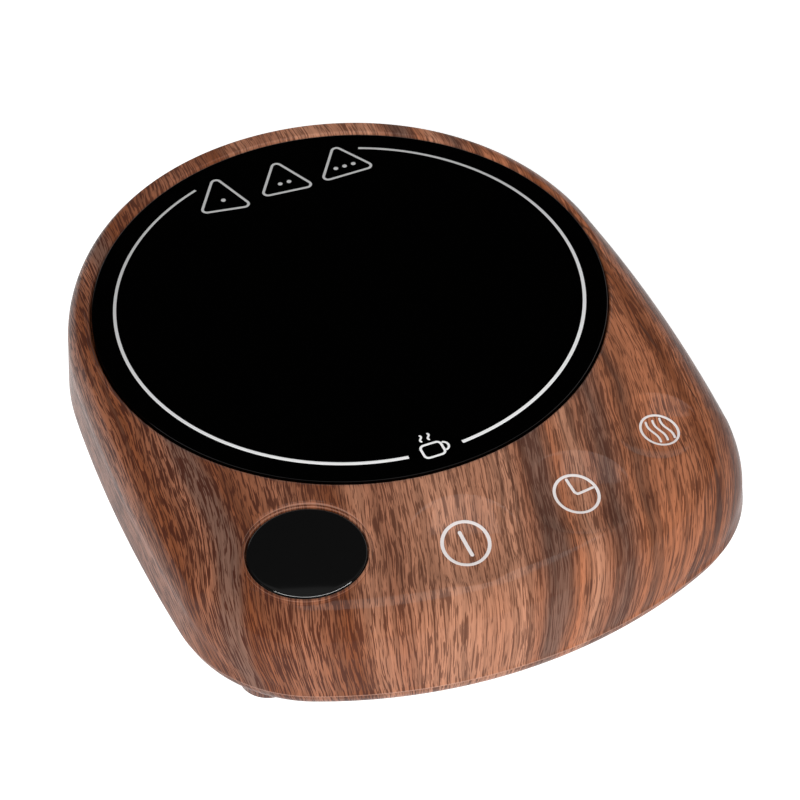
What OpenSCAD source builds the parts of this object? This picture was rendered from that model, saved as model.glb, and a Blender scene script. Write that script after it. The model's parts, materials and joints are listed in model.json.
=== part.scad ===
// Electric mug warmer: a round glass hot plate in a moulded housing whose
// control panel rolls down to the front, on a lower cover with four rubber feet.
// Millimetres. +Z is up, the controls face -Y, and Z = 0 is the table.
// Shapes are drawn about the axis of the glass, and place() moves them so that
// the origin is the middle of the whole object's footprint.

/* [Hot plate] */
// Diameter of the glass plate
glass_d = 104.4; // [90:0.1:128]
// Thickness of the glass plate
glass_t = 4; // [3:0.1:5]
// Gap all round between the glass and its seat
glass_gap = 0.3; // [0.1:0.05:0.6]
// Thickness of the silicone ring under the glass
gasket_t = 0.5; // [0.3:0.1:1]
// Width of the ledge that carries the glass
ledge_w = 3.3; // [2.5:0.1:4.5]
// Thickness of that ledge
ledge_t = 1.6; // [1.2:0.1:2.4]
// Thickness of the aluminium heat spreader
spreader_t = 1.5; // [1:0.1:2]
// Thickness of the mica heating element
element_t = 0.8; // [0.6:0.1:1.2]
// Thickness of the insulation pad
pad_t = 2.4; // [2:0.1:3]
// Thickness of the steel heater bracket
bracket_t = 0.8; // [0.6:0.1:1]

/* [Outline] */
// Width of the housing beyond the glass at the back
rim_w = 6.3; // [5.5:0.1:8]
// Width across the two front corners
front_w = 116; // [100:1:140]
// Radius of the front corners
corner_r = 29.5; // [24:0.5:36]
// How far the corner centres lie in front of the glass edge
corner_gap = 2.8; // [0:0.1:12]
// Radius of the two gently bowed sides
side_r = 363; // [250:1:600]
// Radius of the bowed front
front_r = 99.7; // [85:0.1:140]

/* [Heights] */
// Height of the glass top above the table
top_h = 23.6; // [22:0.1:29]
// Height of the housing's lower lip
lip_z = 7.2; // [6.4:0.1:8.6]
// Height of the cover's underside
foot_h = 2.9; // [2.4:0.1:3.5]

/* [Shell] */
// Thickness of the housing wall
wall = 2; // [1.6:0.1:2.4]
// Thickness of the cover's floor
floor_t = 2; // [1.6:0.1:2.4]
// Slope of the panel away from the glass, as rise over run
dome_slope = 0.05; // [0.02:0.005:0.07]
// Width of the rolled edge at the back
back_roll_w = 1.15; // [0.8:0.05:1.5]
// Height of the rolled edge at the back
back_roll_h = 3.7; // [3:0.1:4.5]
// Width of the rolled edge at the front
front_roll_w = 10; // [8:0.1:12]
// Radius of the rounded inner edge round the glass
seat_round = 1; // [0.5:0.1:1]
// How far the wall leans out from the roll to the lip
draft = 0.95; // [0.6:0.05:1.2]

/* [Controls] */
// Diameter of the display lens
lens_d = 22.6; // [18:0.1:25]
// Thickness of the display lens
lens_t = 2.2; // [1.8:0.1:2.6]
// How far the lens lies below the glass
lens_sink = 0.4; // [0.3:0.05:0.6]
// How far the lens stands above its level ring on the panel
lens_stand = 0.2; // [0.1:0.05:0.3]
// Width of that ring
lens_ring_w = 0.9; // [0.6:0.1:1.5]
// Distance of the lens centre from the glass edge
lens_reach = 17.7; // [15:0.1:20]
// Distance of the keys from the glass edge
key_reach = 18.6; // [15:0.1:20]
// Radius of the finger hollow at each key
dimple_r = 10.4; // [6:0.1:11]
// Depth of that hollow
dimple_depth = 0.7; // [0.2:0.05:0.8]

/* [Boards] */
// Width of the power board
board_w = 56; // [54:1:64]
// Depth of the power board
board_d = 50; // [48:1:60]
// Thickness of both circuit boards
board_t = 1.6; // [1:0.1:2]
// Height of the posts under the power board
post_h = 1.7; // [1.2:0.1:2]
// Height of the control board's top face above the lip
control_rise = 8; // [7:0.1:9]

/* [Fastenings and feet] */
// Radius of the screw shanks
screw_r = 1.25; // [1:0.05:1.4]
// Radius of the screw bosses
boss_r = 3.4; // [2.8:0.1:3.8]
// Distance of the feet from the outline
foot_inset = 8.6; // [8:0.1:10.4]
// Radius of the rubber feet
foot_r = 5; // [4:0.1:5.4]
// Length of the screws that hold the cover to the housing
cover_screw_l = 10; // [8:0.5:12]
// Radius of the cord hole in the gland
cord_hole_r = 2.7; // [2:0.1:2.9]

/* [Hidden] */
$fn = 64;

// Outline: five kinds of arc that meet tangentially
glass_r = glass_d / 2;
back_r = glass_r + rim_w;
corner_x = front_w / 2 - corner_r;
corner_y = glass_r + corner_gap;
corner_c = [corner_x, -corner_y];
front_c = [0, -corner_y + sqrt(pow(front_r - corner_r, 2) - pow(corner_x, 2))];
side_c = side_centre(corner_c, side_r - back_r, side_r - corner_r);
back_end = atan2(-side_c.y, -side_c.x);
side_end = atan2(corner_c.y - side_c.y, corner_c.x - side_c.x);
corner_end = atan2(corner_c.y - front_c.y, corner_c.x - front_c.x);
front_steps = 7;
corner_steps = 11;
side_steps = 3;
back_steps = 17;
right_half = concat(
    spread(-90, corner_end, front_steps), spread(corner_end, side_end, corner_steps),
    spread(side_end, back_end, side_steps), spread(back_end, 90, back_steps));
// Directions of the outline's normal, once round from the front
NORMALS = concat(right_half, [for (i = [0 : len(right_half) - 1])
    i == 0 ? 90 : 180 - right_half[len(right_half) - i]]);

// Top surface
seat_r = glass_r + glass_gap;
dome_r = seat_r + seat_round + 0.2;
roll_land = 0.6;
roll_steps = 6;
roll_power = 1.5;
roll_swell = 2.4;

// Height of every layer, from the glass down and from the table up
glass_z = top_h - glass_t;
ledge_z = glass_z - gasket_t;
spreader_z = glass_z - spreader_t;
element_z = spreader_z - element_t;
pad_z = element_z - pad_t;
bracket_z = pad_z - bracket_t;
floor_z = foot_h + floor_t;
board_z = floor_z + post_h;
board_top = board_z + board_t;
control_top = lip_z + control_rise;
control_z = control_top - board_t;
// Free height between the power board and the heater bracket
bay_h = bracket_z - board_top;

// Hot plate parts under the glass
ledge_r = seat_r - ledge_w;
collar_t = 3;
collar_r = seat_r + collar_t;
// The spreader stays clear of the two screw bosses at the back
spreader_r = back_r - foot_inset - boss_r - 0.5;
element_r = spreader_r - 4;
pad_r = spreader_r - 2;
bracket_r = spreader_r - 1;
ear_r = ledge_r + 2;
ear_angles = [30, 150, 270];
ear_boss_r = 3.2;
// The bracket's ears stay clear of the housing's inner wall
ear_plate_r = back_r - wall - draft - ear_r - 0.2;
ear_neck = ear_plate_r - 0.5;
vent_angles = [45, 135, 225, 315];
sensor_r = 3.2;
sensor_tip_r = 1.8;
sensor_flange_t = 1.6;
terminal_r = 1.6;
terminal_h = 1;
lead_x = 7;
lead_y = -22;
lead_r = 0.9;
lead_hole_r = 2;
lead_sag = 1.4;

// Controls on one arc about the glass axis
key_arc_r = glass_r + key_reach;
lens_arc_r = glass_r + lens_reach;
lens_angle = -118.4;
key_angles = [-94.4, -74.8, -55.6];
lens_clear = 0.25;
window_r = lens_d / 2 - 2;
lens_rest_t = 1.6;
lens_z = top_h - lens_sink;
lens_ring_r = lens_d / 2 + lens_ring_w;
control_inset = foot_inset + boss_r + 0.4;
control_back = glass_r - 5;
control_posts = [[-106.5, key_arc_r + 5], [-66, key_arc_r + 5], [-84, glass_r + 7.5]];
control_post_r = 2.6;

// Cover, feet and gland
step_in = 0.6;
cover_in = 2.35;
cover_wall_in = 2.6;
rib_in = wall + draft + 0.7;
rib_t = 1.05;
rib_top = lip_z + 1.5;
board_mid_y = 7;
foot_normals = [-40, 220, 45, 135];
foot_boss_r = foot_r + 0.7;
foot_stand = 0.9;
pad_top = 2;
foot_pocket_top = pad_top + 1.8;
head_r = 2.4;
head_h = 1.5;
hole_gap = 0.1;
slot_w = 2.2;
slot_l = 22;
slot_count = 6;
slot_pitch = 6;
// The gland sits midway between the cover's rib and the ledge under the glass
gland_z = (rib_top + ledge_z - ledge_t) / 2;
gland_nut_r = (ledge_z - ledge_t - rib_top) / 2 - 0.3;
gland_neck_r = gland_nut_r - 0.4;
gland_seat_r = gland_z - lip_z - 0.2;
gland_flange_r = gland_seat_r - 0.5;
gland_flange_t = 1.6;
gland_nut_t = 1.4;
gland_bevel = 0.5;
gland_y_out = back_r + gland_flange_t;
// The nut's flat face meets the curved inner wall at its edge
gland_wall_in = back_r - draft - wall;
gland_y_in = sqrt(gland_wall_in * gland_wall_in - gland_nut_r * gland_nut_r) - gland_nut_t;
front_y = front_c.y - front_r;
centre_shift = -(gland_y_out + front_y) / 2;

// Parts between the power board and the bracket
block_w = 20;
block_d = 8;
block_pitch = 4.6;
block_y = board_mid_y + board_d / 2 - 8;
block_hole_z = board_top + 2.6;
block_hole_r = 1.3;
fuse_x = 20;
fuse_y = 1;
fuse_body_r = 1.9;
fuse_z = bracket_z - fuse_body_r - 0.05;
clip_r = fuse_body_r + 0.15;
clip_t = 0.6;
clip_w = 6;
clip_reach = clip_r + 3.6;
tube_x = -17;
tube_y = board_mid_y + 7;
tube_cap_r = (bay_h - 1.1) / 2;
tube_z = board_top + tube_cap_r + 0.5;
tube_half = 8.5;
tube_cap_l = 4;
cable_w = 7;
cable_t = 0.9;
cable_x = -17.5;
cable_z = board_top + 1.2;
spring_r = 3;
spring_wire_r = 0.35;
spring_turns = 5;
spring_top = top_h - cone(key_arc_r + spring_r + spring_wire_r) - wall - 0.1;

// A circle of radius side_r that touches the back and the corner arc from outside
function side_centre(c, r0, r1) =
    let (d = norm(c), a = (r0 * r0 - r1 * r1 + d * d) / (2 * d), h = sqrt(r0 * r0 - a * a),
         along = c / d, across = [-along.y, along.x],
         s = a * along + h * across, t = a * along - h * across)
    s.x < t.x ? s : t;
function spread(from, to, steps) = [for (i = [0 : steps - 1]) from + (to - from) * i / steps];

// The outline at the place where its normal points to the angle n
function fold(n) = cos(n) < 0 ? 180 - n : n;
function arc_centre(n) = n >= back_end ? [0, 0] : n >= side_end ? side_c
    : n >= corner_end ? corner_c : front_c;
function arc_radius(n) = n >= back_end ? back_r : n >= side_end ? side_r
    : n >= corner_end ? corner_r : front_r;
function edge(n, inset = 0) =
    let (f = fold(n), c = arc_centre(f), r = arc_radius(f) - inset,
         p = [c.x + r * cos(f), c.y + r * sin(f)])
    [cos(n) < 0 ? -p.x : p.x, p.y];

// The panel falls away as a low cone, then rolls over a quarter ellipse that
// grows from the back to the front
function cone(r) = dome_slope * max(0, r - dome_r);
function share(n) = pow((1 - sin(n)) / 2, roll_power);
function roll_w(n) =
    back_roll_w + (front_roll_w - back_roll_w) * (1 - pow(1 - share(n), roll_swell));
function roll_h(n) =
    let (room = top_h - lip_z - cone(norm(edge(n))) - roll_land)
    back_roll_h + (room - back_roll_h) * share(n);
function roll_inset(n, a) = draft + roll_w(n) * (1 - sin(a));
function roll_z(n, a) =
    top_h - cone(norm(edge(n, roll_inset(n, a)))) - roll_h(n) * (1 - cos(a));
function unit(p) = p / norm(p);
function lift(p, z) = [p.x, p.y, z];

// One loop of points of the housing's skin, from the rolled edge inwards
function roll_loop(inset, drop, a) =
    [for (n = NORMALS) lift(edge(n, roll_inset(n, a) + inset), roll_z(n, a) - drop)];
function cone_loop(inset, drop, part) =
    [for (n = NORMALS)
        let (p = edge(n, roll_inset(n, 0) + inset), r0 = norm(p),
             r = r0 + (min(dome_r, r0 - 0.2) - r0) * part)
        lift(unit(p) * r, top_h - drop - cone(r))];
function flat_loop(inset, z) = [for (n = NORMALS) lift(edge(n, inset), z)];

module place() {
    translate([0, centre_shift, 0]) children();
}

// A closed solid through equal loops of points, the first loop at the bottom
module loft(loops) {
    n = len(loops[0]);
    last = (len(loops) - 1) * n;
    sides = [for (k = [0 : len(loops) - 2], i = [0 : n - 1])
        let (j = (i + 1) % n, a = k * n + i, b = k * n + j)
        each [[a, a + n, b], [b, a + n, b + n]]];
    polyhedron(
        points = [for (loop = loops) each loop],
        faces = concat([[for (i = [0 : n - 1]) i]],
                       sides, [[for (i = [n - 1 : -1 : 0]) last + i]]),
        convexity = 6);
}

// The solid inside the housing's skin, shrunk by inset and lowered by drop
module skin(inset, drop, bottom) {
    loft(concat(
        [flat_loop(inset, bottom)],
        [for (k = [roll_steps : -1 : 0]) roll_loop(inset, drop, 90 * k / roll_steps)],
        [cone_loop(inset, drop, 0.5), cone_loop(inset, drop, 1)]));
}

module outline_plate(inset, z, h) {
    translate([0, 0, z]) linear_extrude(h) polygon([for (n = NORMALS) edge(n, inset)]);
}

module disc(r, z, h) {
    translate([0, 0, z]) cylinder(r = r, h = h, $fn = 128);
}

// A tube along points, with square to octagonal section
module sweep(points, r, sides) {
    count = len(points);
    rings = [for (i = [0 : count - 1])
        let (d = unit(points[min(i + 1, count - 1)] - points[max(i - 1, 0)]),
             u = unit(cross(d, abs(d.z) > 0.9 ? [1, 0, 0] : [0, 0, 1])), v = cross(d, u))
        [for (k = [0 : sides - 1])
            points[i] + r * (cos(360 * k / sides) * u - sin(360 * k / sides) * v)]];
    loft(rings);
}

// A pan head screw with a cross slot, its shank pointing up from height z
module screw_up(z, length) {
    slot_deep = 0.7;
    translate([0, 0, z]) difference() {
        union() {
            translate([0, 0, -head_h]) cylinder(r = head_r, h = head_h);
            cylinder(r = screw_r, h = length);
        }
        for (a = [0, 90]) rotate(a)
            translate([-0.3, -head_r * 0.7, -head_h - 1])
                cube([0.6, head_r * 1.4, 1 + slot_deep]);
    }
}

// The hole for such a screw, from height z up
module screw_hole(z, h, r = screw_r + hole_gap) {
    translate([0, 0, z]) cylinder(r = r, h = h);
}

module at_polar(angle, r) {
    rotate(angle) translate([r, 0, 0]) rotate(-angle) children();
}

// Puts children at the lens, at a height above or below its top
module at_lens(z) {
    at_polar(lens_angle, lens_arc_r) translate([0, 0, lens_z + z]) children();
}

// Puts children on the sloping panel at an angle and radius, +Z along its normal
module on_panel(angle, r, z) {
    rotate(angle) translate([r, 0, z]) rotate([0, atan(dome_slope), 0]) children();
}

module ear_places() {
    for (a = ear_angles) at_polar(a, ear_r) children();
}

module ear_bosses(r, z, h) {
    ear_places() translate([0, 0, z]) cylinder(r = r, h = h);
}

module foot_places() {
    for (n = foot_normals) translate(edge(n, foot_inset)) children();
}

module post_places() {
    for (p = control_posts) at_polar(p[0], p[1]) children();
}

module upper_housing() color([0.55, 0.33, 0.23]) place() difference() {
    union() {
        difference() {
            skin(0, 0, lip_z);
            skin(wall, wall, lip_z - 5);
        }
        intersection() {
            skin(wall / 2, wall / 2, lip_z - 5);
            union() {
                difference() {
                    disc(collar_r, ledge_z - ledge_t, top_h);
                    disc(ledge_r, ledge_z - ledge_t - 1, ledge_t + 2);
                }
                ear_bosses(ear_boss_r, pad_z, ledge_z - pad_z);
                foot_places() screw_hole(floor_z, top_h, boss_r);
                post_places() screw_hole(control_top, top_h, control_post_r);
                at_lens(-lens_t - lens_rest_t) screw_hole(0, top_h, lens_d / 2 + 2.2);
            }
        }
        at_lens(-lens_t - lens_rest_t)
            cylinder(r = lens_ring_r, h = lens_t + lens_rest_t - lens_stand, $fn = 96);
        translate([0, back_r - draft - wall / 2, gland_z]) rotate([-90, 0, 0])
            cylinder(r = gland_seat_r, h = draft + wall / 2);
    }
    disc(seat_r, ledge_z, top_h);
    rotate_extrude($fn = 128) polygon(concat(
        [for (t = [0 : 30 : 90])
            [seat_r + seat_round * (1 - cos(t)), top_h - seat_round * (1 - sin(t))]],
        [[seat_r + seat_round, top_h + 1], [seat_r - 1, top_h + 1],
         [seat_r - 1, top_h - seat_round]]));
    at_lens(-lens_stand) cylinder(r = lens_ring_r, h = 4, $fn = 96);
    at_lens(-lens_t) cylinder(r = lens_d / 2 + lens_clear, h = lens_t + 4, $fn = 96);
    at_lens(-lens_t - lens_rest_t - 1) cylinder(r = window_r, h = lens_rest_t + 2, $fn = 96);
    for (a = key_angles) on_panel(a, key_arc_r, top_h - cone(key_arc_r)) {
        bowl_r = (dimple_r * dimple_r + dimple_depth * dimple_depth) / (2 * dimple_depth);
        translate([0, 0, bowl_r - dimple_depth]) sphere(r = bowl_r);
    }
    ear_places() screw_hole(pad_z - 1, ledge_z - pad_z - 0.2);
    foot_places() screw_hole(floor_z - 1, foot_pocket_top + cover_screw_l + 0.5 - floor_z + 1);
    post_places() screw_hole(control_top - 1, 4.2);
    translate([0, gland_y_in, gland_z]) rotate([-90, 0, 0])
        cylinder(r = gland_neck_r + hole_gap, h = gland_y_out - gland_y_in);
}

module lower_cover() color([0.46, 0.28, 0.2]) place() difference() {
    union() {
        difference() {
            loft([
                flat_loop(cover_in + 0.7, foot_h), flat_loop(cover_in, foot_h + 0.35),
                flat_loop(cover_in * 0.6, foot_h + 1.5), flat_loop(step_in, lip_z)]);
            outline_plate(cover_wall_in + step_in, floor_z, top_h);
        }
        difference() {
            outline_plate(rib_in, floor_z - 0.5, rib_top - floor_z + 0.5);
            outline_plate(rib_in + rib_t, floor_z - 1, top_h);
        }
        foot_places() translate([0, 0, foot_stand])
            cylinder(r1 = foot_boss_r, r2 = foot_boss_r + 0.5, h = floor_z - foot_stand - 0.5);
        board_holes() screw_hole(floor_z - 0.5, post_h + 0.5, 2.6);
    }
    foot_places() {
        screw_hole(0, pad_top, foot_r + hole_gap);
        screw_hole(0, foot_pocket_top, head_r + 0.4);
        screw_hole(0, top_h, screw_r + 0.2);
    }
    board_holes() screw_hole(foot_h + 0.8, top_h);
    for (i = [0 : slot_count - 1])
        translate([(i - (slot_count - 1) / 2) * slot_pitch, board_mid_y, 0])
            hull() for (s = [-1, 1]) translate([0, s * (slot_l - slot_w) / 2, 0])
                cylinder(r = slot_w / 2, h = floor_z + 1, $fn = 32);
}

module glass_plate() color([0.02, 0.02, 0.025]) place() difference() {
    disc(glass_r, glass_z, glass_t);
    translate([0, 0, top_h - 0.4]) difference() {
        cylinder(r = glass_r + 1, h = 1, $fn = 128);
        translate([0, 0, -0.001]) cylinder(r1 = glass_r, r2 = glass_r - 0.4, h = 0.402, $fn = 128);
    }
}

module glass_gasket() color([0.15, 0.15, 0.15]) place() difference() {
    disc(glass_r, ledge_z, gasket_t);
    disc(ledge_r + 0.4, ledge_z - 1, gasket_t + 2);
}

module heat_spreader() color([0.78, 0.79, 0.8]) place() difference() {
    disc(spreader_r, spreader_z, spreader_t);
    disc(sensor_tip_r + 0.4, spreader_z - 1, 1.6);
}

// Mica sheet with its etched foil track in rings on the lower face
module heating_element() color([0.72, 0.66, 0.5]) place() difference() {
    track_w = 1.2;
    track_deep = 0.2;
    union() {
        difference() {
            disc(element_r, element_z, element_t);
            for (r = [element_r - 3 : -5 : 14]) difference() {
                disc(r, element_z - 1, 1 + track_deep);
                disc(r - track_w, element_z - 2, 3);
            }
        }
        lead_places() screw_hole(element_z - terminal_h, terminal_h + 0.2, terminal_r);
    }
    disc(sensor_r + 0.6, element_z - 2, element_t + 4);
}

module lead_places() {
    for (s = [-1, 1]) translate([s * lead_x, lead_y, 0]) children();
}

module insulation_pad() color([0.93, 0.92, 0.88]) place() difference() {
    disc(pad_r, pad_z, pad_t);
    disc(sensor_r + 0.6, pad_z - 1, pad_t + 2);
    lead_places() screw_hole(pad_z - 1, pad_t + 2, lead_hole_r);
}

module heater_bracket() color([0.7, 0.71, 0.72]) place() difference() {
    union() {
        disc(bracket_r, bracket_z, bracket_t);
        for (a = ear_angles) rotate(a) translate([bracket_r - 4, -ear_neck, bracket_z])
            cube([ear_r - bracket_r + 4, 2 * ear_neck, bracket_t]);
        ear_bosses(ear_plate_r, bracket_z, bracket_t);
    }
    disc(sensor_r + hole_gap, bracket_z - 1, bracket_t + 2);
    lead_places() screw_hole(bracket_z - 1, bracket_t + 2, lead_hole_r);
    ear_places() screw_hole(bracket_z - 1, bracket_t + 2);
    for (a = vent_angles) at_polar(a, bracket_r * 0.68) screw_hole(bracket_z - 1, bracket_t + 2, 5);
}

module bracket_screws() color([0.75, 0.75, 0.76]) place()
    ear_places() screw_up(bracket_z, ledge_z - bracket_z - 1.4);

module temperature_sensor() color([0.9, 0.88, 0.8]) place() {
    flange_z = bracket_z - sensor_flange_t;
    disc(sensor_r, flange_z, spreader_z - flange_z);
    disc(sensor_r + 2, flange_z, sensor_flange_t);
    disc(sensor_tip_r, spreader_z - 0.2, 0.7);
}

module thermal_fuse() color([0.82, 0.8, 0.72]) place()
    translate([fuse_x, fuse_y, fuse_z]) rotate([0, 90, 0]) {
        translate([0, 0, -5]) cylinder(r = fuse_body_r, h = 10);
        translate([0, 0, -9]) cylinder(r = 0.5, h = 18);
    }

// Sheet metal saddle that holds the thermal fuse against the bracket
module fuse_clip() color([0.76, 0.76, 0.78]) place() translate([fuse_x, fuse_y, 0]) {
    difference() {
        union() {
            translate([-clip_w / 2, 0, fuse_z]) rotate([0, 90, 0])
                cylinder(r = clip_r + clip_t, h = clip_w);
            translate([-clip_w / 2, -clip_reach, bracket_z - clip_t])
                cube([clip_w, 2 * clip_reach, clip_t]);
        }
        translate([-clip_w, 0, fuse_z]) rotate([0, 90, 0]) cylinder(r = clip_r, h = 2 * clip_w);
        translate([-clip_w, -clip_r, fuse_z]) cube([2 * clip_w, 2 * clip_r, 3]);
        translate([-clip_w, -clip_reach, bracket_z])
            cube([2 * clip_w, 2 * clip_reach, clip_r + clip_t]);
    }
}

// Two insulated leads from the element, through the bracket, to the terminal block
module heater_leads() color([0.9, 0.9, 0.88]) place() {
    run_z = bracket_z - lead_sag;
    entry_y = block_y - block_d / 2;
    for (s = [-1, 1]) {
        end_x = s * block_pitch * 1.5;
        sweep([
            [s * lead_x, lead_y, element_z - terminal_h],
            [s * lead_x, lead_y, bracket_z - 0.2],
            [s * (lead_x - 0.3), lead_y + 0.8, run_z + 0.3],
            [s * (lead_x - 1), lead_y + 2.6, run_z],
            [end_x, 0, run_z],
            [end_x, entry_y - 4.5, run_z],
            [end_x, entry_y - 2.6, (run_z + block_hole_z) / 2],
            [end_x, entry_y - 0.8, block_hole_z],
            [end_x, entry_y + 1, block_hole_z]], lead_r, 8);
    }
}

module board_holes() {
    for (sx = [-1, 1], sy = [-1, 1])
        translate([sx * (board_w / 2 - 3.5), board_mid_y + sy * (board_d / 2 - 3.5), 0]) children();
}

// Power board on four posts under the heater
module power_board() color([0.12, 0.38, 0.2]) place() difference() {
    translate([-board_w / 2, board_mid_y - board_d / 2, board_z])
        cube([board_w, board_d, board_t]);
    board_holes() screw_hole(0, top_h, screw_r + 0.2);
}

module board_screws() color([0.75, 0.75, 0.76]) place()
    board_holes() translate([0, 0, board_top]) mirror([0, 0, 1])
        screw_up(0, board_top - foot_h - 1);

module terminal_block() color([0.2, 0.45, 0.25]) place() difference() {
    block_h = bay_h - 0.5;
    translate([-block_w / 2, block_y - block_d / 2, board_top])
        cube([block_w, block_d, block_h]);
    for (i = [-1.5 : 1 : 1.5]) translate([i * block_pitch, block_y, block_hole_z]) {
        rotate([90, 0, 0]) translate([0, 0, -block_d])
            cylinder(r = block_hole_r, h = 2 * block_d);
        cylinder(r = block_hole_r + 0.2, h = block_h);
    }
}

module mains_fuse() color([0.85, 0.86, 0.84]) place() translate([tube_x, tube_y, tube_z])
    rotate([0, 90, 0]) {
        translate([0, 0, -6]) cylinder(r = tube_cap_r - 0.2, h = 12);
        for (s = [-1, 1]) translate([0, 0, s * (tube_half - tube_cap_l / 2) - tube_cap_l / 2])
            cylinder(r = tube_cap_r, h = tube_cap_l);
    }

module fuse_holder() color([0.8, 0.66, 0.35]) place()
    for (s = [-1, 1])
        translate([tube_x + s * (tube_half - tube_cap_l / 2), tube_y, tube_z]) difference() {
            translate([-1.5, -3, board_top - tube_z]) cube([3, 6, tube_z - board_top + 1.2]);
            rotate([0, 90, 0]) translate([0, 0, -3]) cylinder(r = tube_cap_r + 0.05, h = 6);
            translate([-3, -1.8, 0]) cube([6, 3.6, 5]);
        }

module film_capacitor() color([0.75, 0.6, 0.2]) place()
    translate([8.8, fuse_y + clip_reach + 0.5, board_top]) cube([17, 11, bay_h - 0.9]);

module electrolytic_capacitor() color([0.1, 0.12, 0.3]) place() {
    can_r = (bay_h - 0.6) / 2;
    translate([-25, board_mid_y - 13, board_top + can_r]) rotate([0, 90, 0]) {
        cylinder(r = can_r, h = 12);
        for (s = [-1, 1]) translate([0, s * 1.2, 12]) cylinder(r = 0.35, h = 3);
    }
}

module bridge_rectifier() color([0.1, 0.1, 0.11]) place()
    translate([-24, board_mid_y - 6, board_top]) {
        cube([9, 6.4, 2.8]);
        for (x = [1.5, 7.5], y = [-1.2, 6.2]) translate([x - 0.6, y, 0]) cube([1.2, 1.4, 0.3]);
    }

module triac() color([0.16, 0.16, 0.17]) place()
    translate([11, board_mid_y - 21, board_top]) difference() {
        union() {
            cube([10, 12, 1.3]);
            cube([10, 7.5, bay_h - 1.5]);
            for (x = [2.46, 5, 7.54]) translate([x - 0.4, -2.4, 1.6]) cube([0.8, 3, 0.5]);
        }
        translate([5, 9.8, -1]) cylinder(r = 1.4, h = 4);
    }

// Control board just under the panel, in front of the hot plate
module control_board() color([0.12, 0.38, 0.2]) place() difference() {
    intersection() {
        outline_plate(control_inset, control_z, board_t);
        translate([-front_w, -front_w - control_back, control_z - 1])
            cube([2 * front_w, front_w, board_t + 2]);
    }
    disc(bracket_r + 3, control_z - 1, board_t + 2);
    hull() for (r = [bracket_r, ear_r])
        at_polar(270, r) screw_hole(control_z - 1, board_t + 2, ear_plate_r + 1.2);
    post_places() screw_hole(control_z - 1, board_t + 2, screw_r + 0.2);
}

module control_screws() color([0.75, 0.75, 0.76]) place()
    post_places() screw_up(control_z, board_t + 3);

module microcontroller() color([0.1, 0.1, 0.11]) place()
    at_polar(-92, key_arc_r + 1) translate([-3.5, -3.5, control_z - 1.1]) {
        cube([7, 7, 1.1]);
        for (i = [0 : 5]) translate([-0.8, 0.7 + i * 1.05, 0.8]) cube([8.6, 0.4, 0.3]);
    }

// Two digits of a display with their windows, under the lens
module digit_display() color([0.85, 0.86, 0.86]) place()
    at_polar(lens_angle, lens_arc_r) rotate(lens_angle + 90) difference() {
        translate([-7.5, -5, control_top]) cube([15, 10, 2.3]);
        for (x = [-3.6, 3.6], y = [-1.9, 1.9]) translate([x - 2.4, y - 1.4, control_top + 1.9])
            cube([4.8, 2.8, 1]);
    }

module display_lens() color([0.015, 0.015, 0.02]) place() {
    at_lens(-lens_t) cylinder(r = lens_d / 2, h = lens_t - 0.5, $fn = 96);
    at_lens(-0.5) cylinder(r1 = lens_d / 2, r2 = lens_d / 2 - 0.5, h = 0.5, $fn = 96);
}

// Contact springs from the control board to the inside of the panel
module touch_springs() color([0.8, 0.8, 0.82]) place()
    for (a = key_angles) at_polar(a, key_arc_r) {
        rise = spring_top - control_top - 2 * spring_wire_r;
        sweep([for (k = [0 : 12 * spring_turns]) [
            spring_r * cos(30 * k), spring_r * sin(30 * k),
            control_top + spring_wire_r + rise * k / (12 * spring_turns)]],
            spring_wire_r, 6);
    }

module buzzer() color([0.08, 0.08, 0.09]) place()
    at_polar(-62, glass_r + 8) translate([0, 0, control_z - 3.6]) difference() {
        cylinder(r = 4.5, h = 3.6);
        translate([0, 0, -1]) cylinder(r = 0.9, h = 2);
    }

// Flat cable from the power board to the underside of the control board
module link_cable() color([0.75, 0.75, 0.74]) place() {
    back_y = board_mid_y - board_d / 2 + 2;
    front_end_y = -control_back - 9;
    translate([cable_x, back_y - 3, board_top]) cube([cable_w, 3, 2.4]);
    translate([cable_x, front_end_y, cable_z]) cube([cable_w, back_y - front_end_y - 1, cable_t]);
    translate([cable_x, front_end_y, cable_z]) cube([cable_w, cable_t, control_z - cable_z]);
}

module cord_gland() color([0.06, 0.06, 0.06]) place()
    translate([0, 0, gland_z]) rotate([-90, 0, 0]) rotate_extrude($fn = 64) difference() {
        union() {
            translate([0, gland_y_in]) square([gland_nut_r, gland_nut_t]);
            translate([0, gland_y_in]) square([gland_neck_r, gland_y_out - gland_y_in]);
            translate([0, back_r]) square([gland_flange_r, gland_flange_t - gland_bevel]);
            translate([0, gland_y_out - gland_bevel]) polygon([[0, 0], [gland_flange_r, 0],
                [gland_flange_r - gland_bevel, gland_bevel], [0, gland_bevel]]);
        }
        translate([-1, gland_y_in - 1]) square([cord_hole_r + 1, gland_y_out - gland_y_in + 2]);
    }

module housing_screws() color([0.75, 0.75, 0.76]) place()
    foot_places() screw_up(foot_pocket_top, cover_screw_l);

module rubber_feet() color([0.05, 0.05, 0.05]) place()
    foot_places() {
        translate([0, 0, 0.3]) cylinder(r = foot_r, h = pad_top - 0.3);
        cylinder(r1 = foot_r - 0.3, r2 = foot_r, h = 0.3);
    }

upper_housing();
lower_cover();
glass_plate();
glass_gasket();
heat_spreader();
heating_element();
insulation_pad();
heater_bracket();
bracket_screws();
temperature_sensor();
thermal_fuse();
fuse_clip();
heater_leads();
power_board();
board_screws();
terminal_block();
mains_fuse();
fuse_holder();
film_capacitor();
electrolytic_capacitor();
bridge_rectifier();
triac();
control_board();
control_screws();
microcontroller();
digit_display();
display_lens();
touch_springs();
buzzer();
link_cable();
cord_gland();
housing_screws();
rubber_feet();
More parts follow.
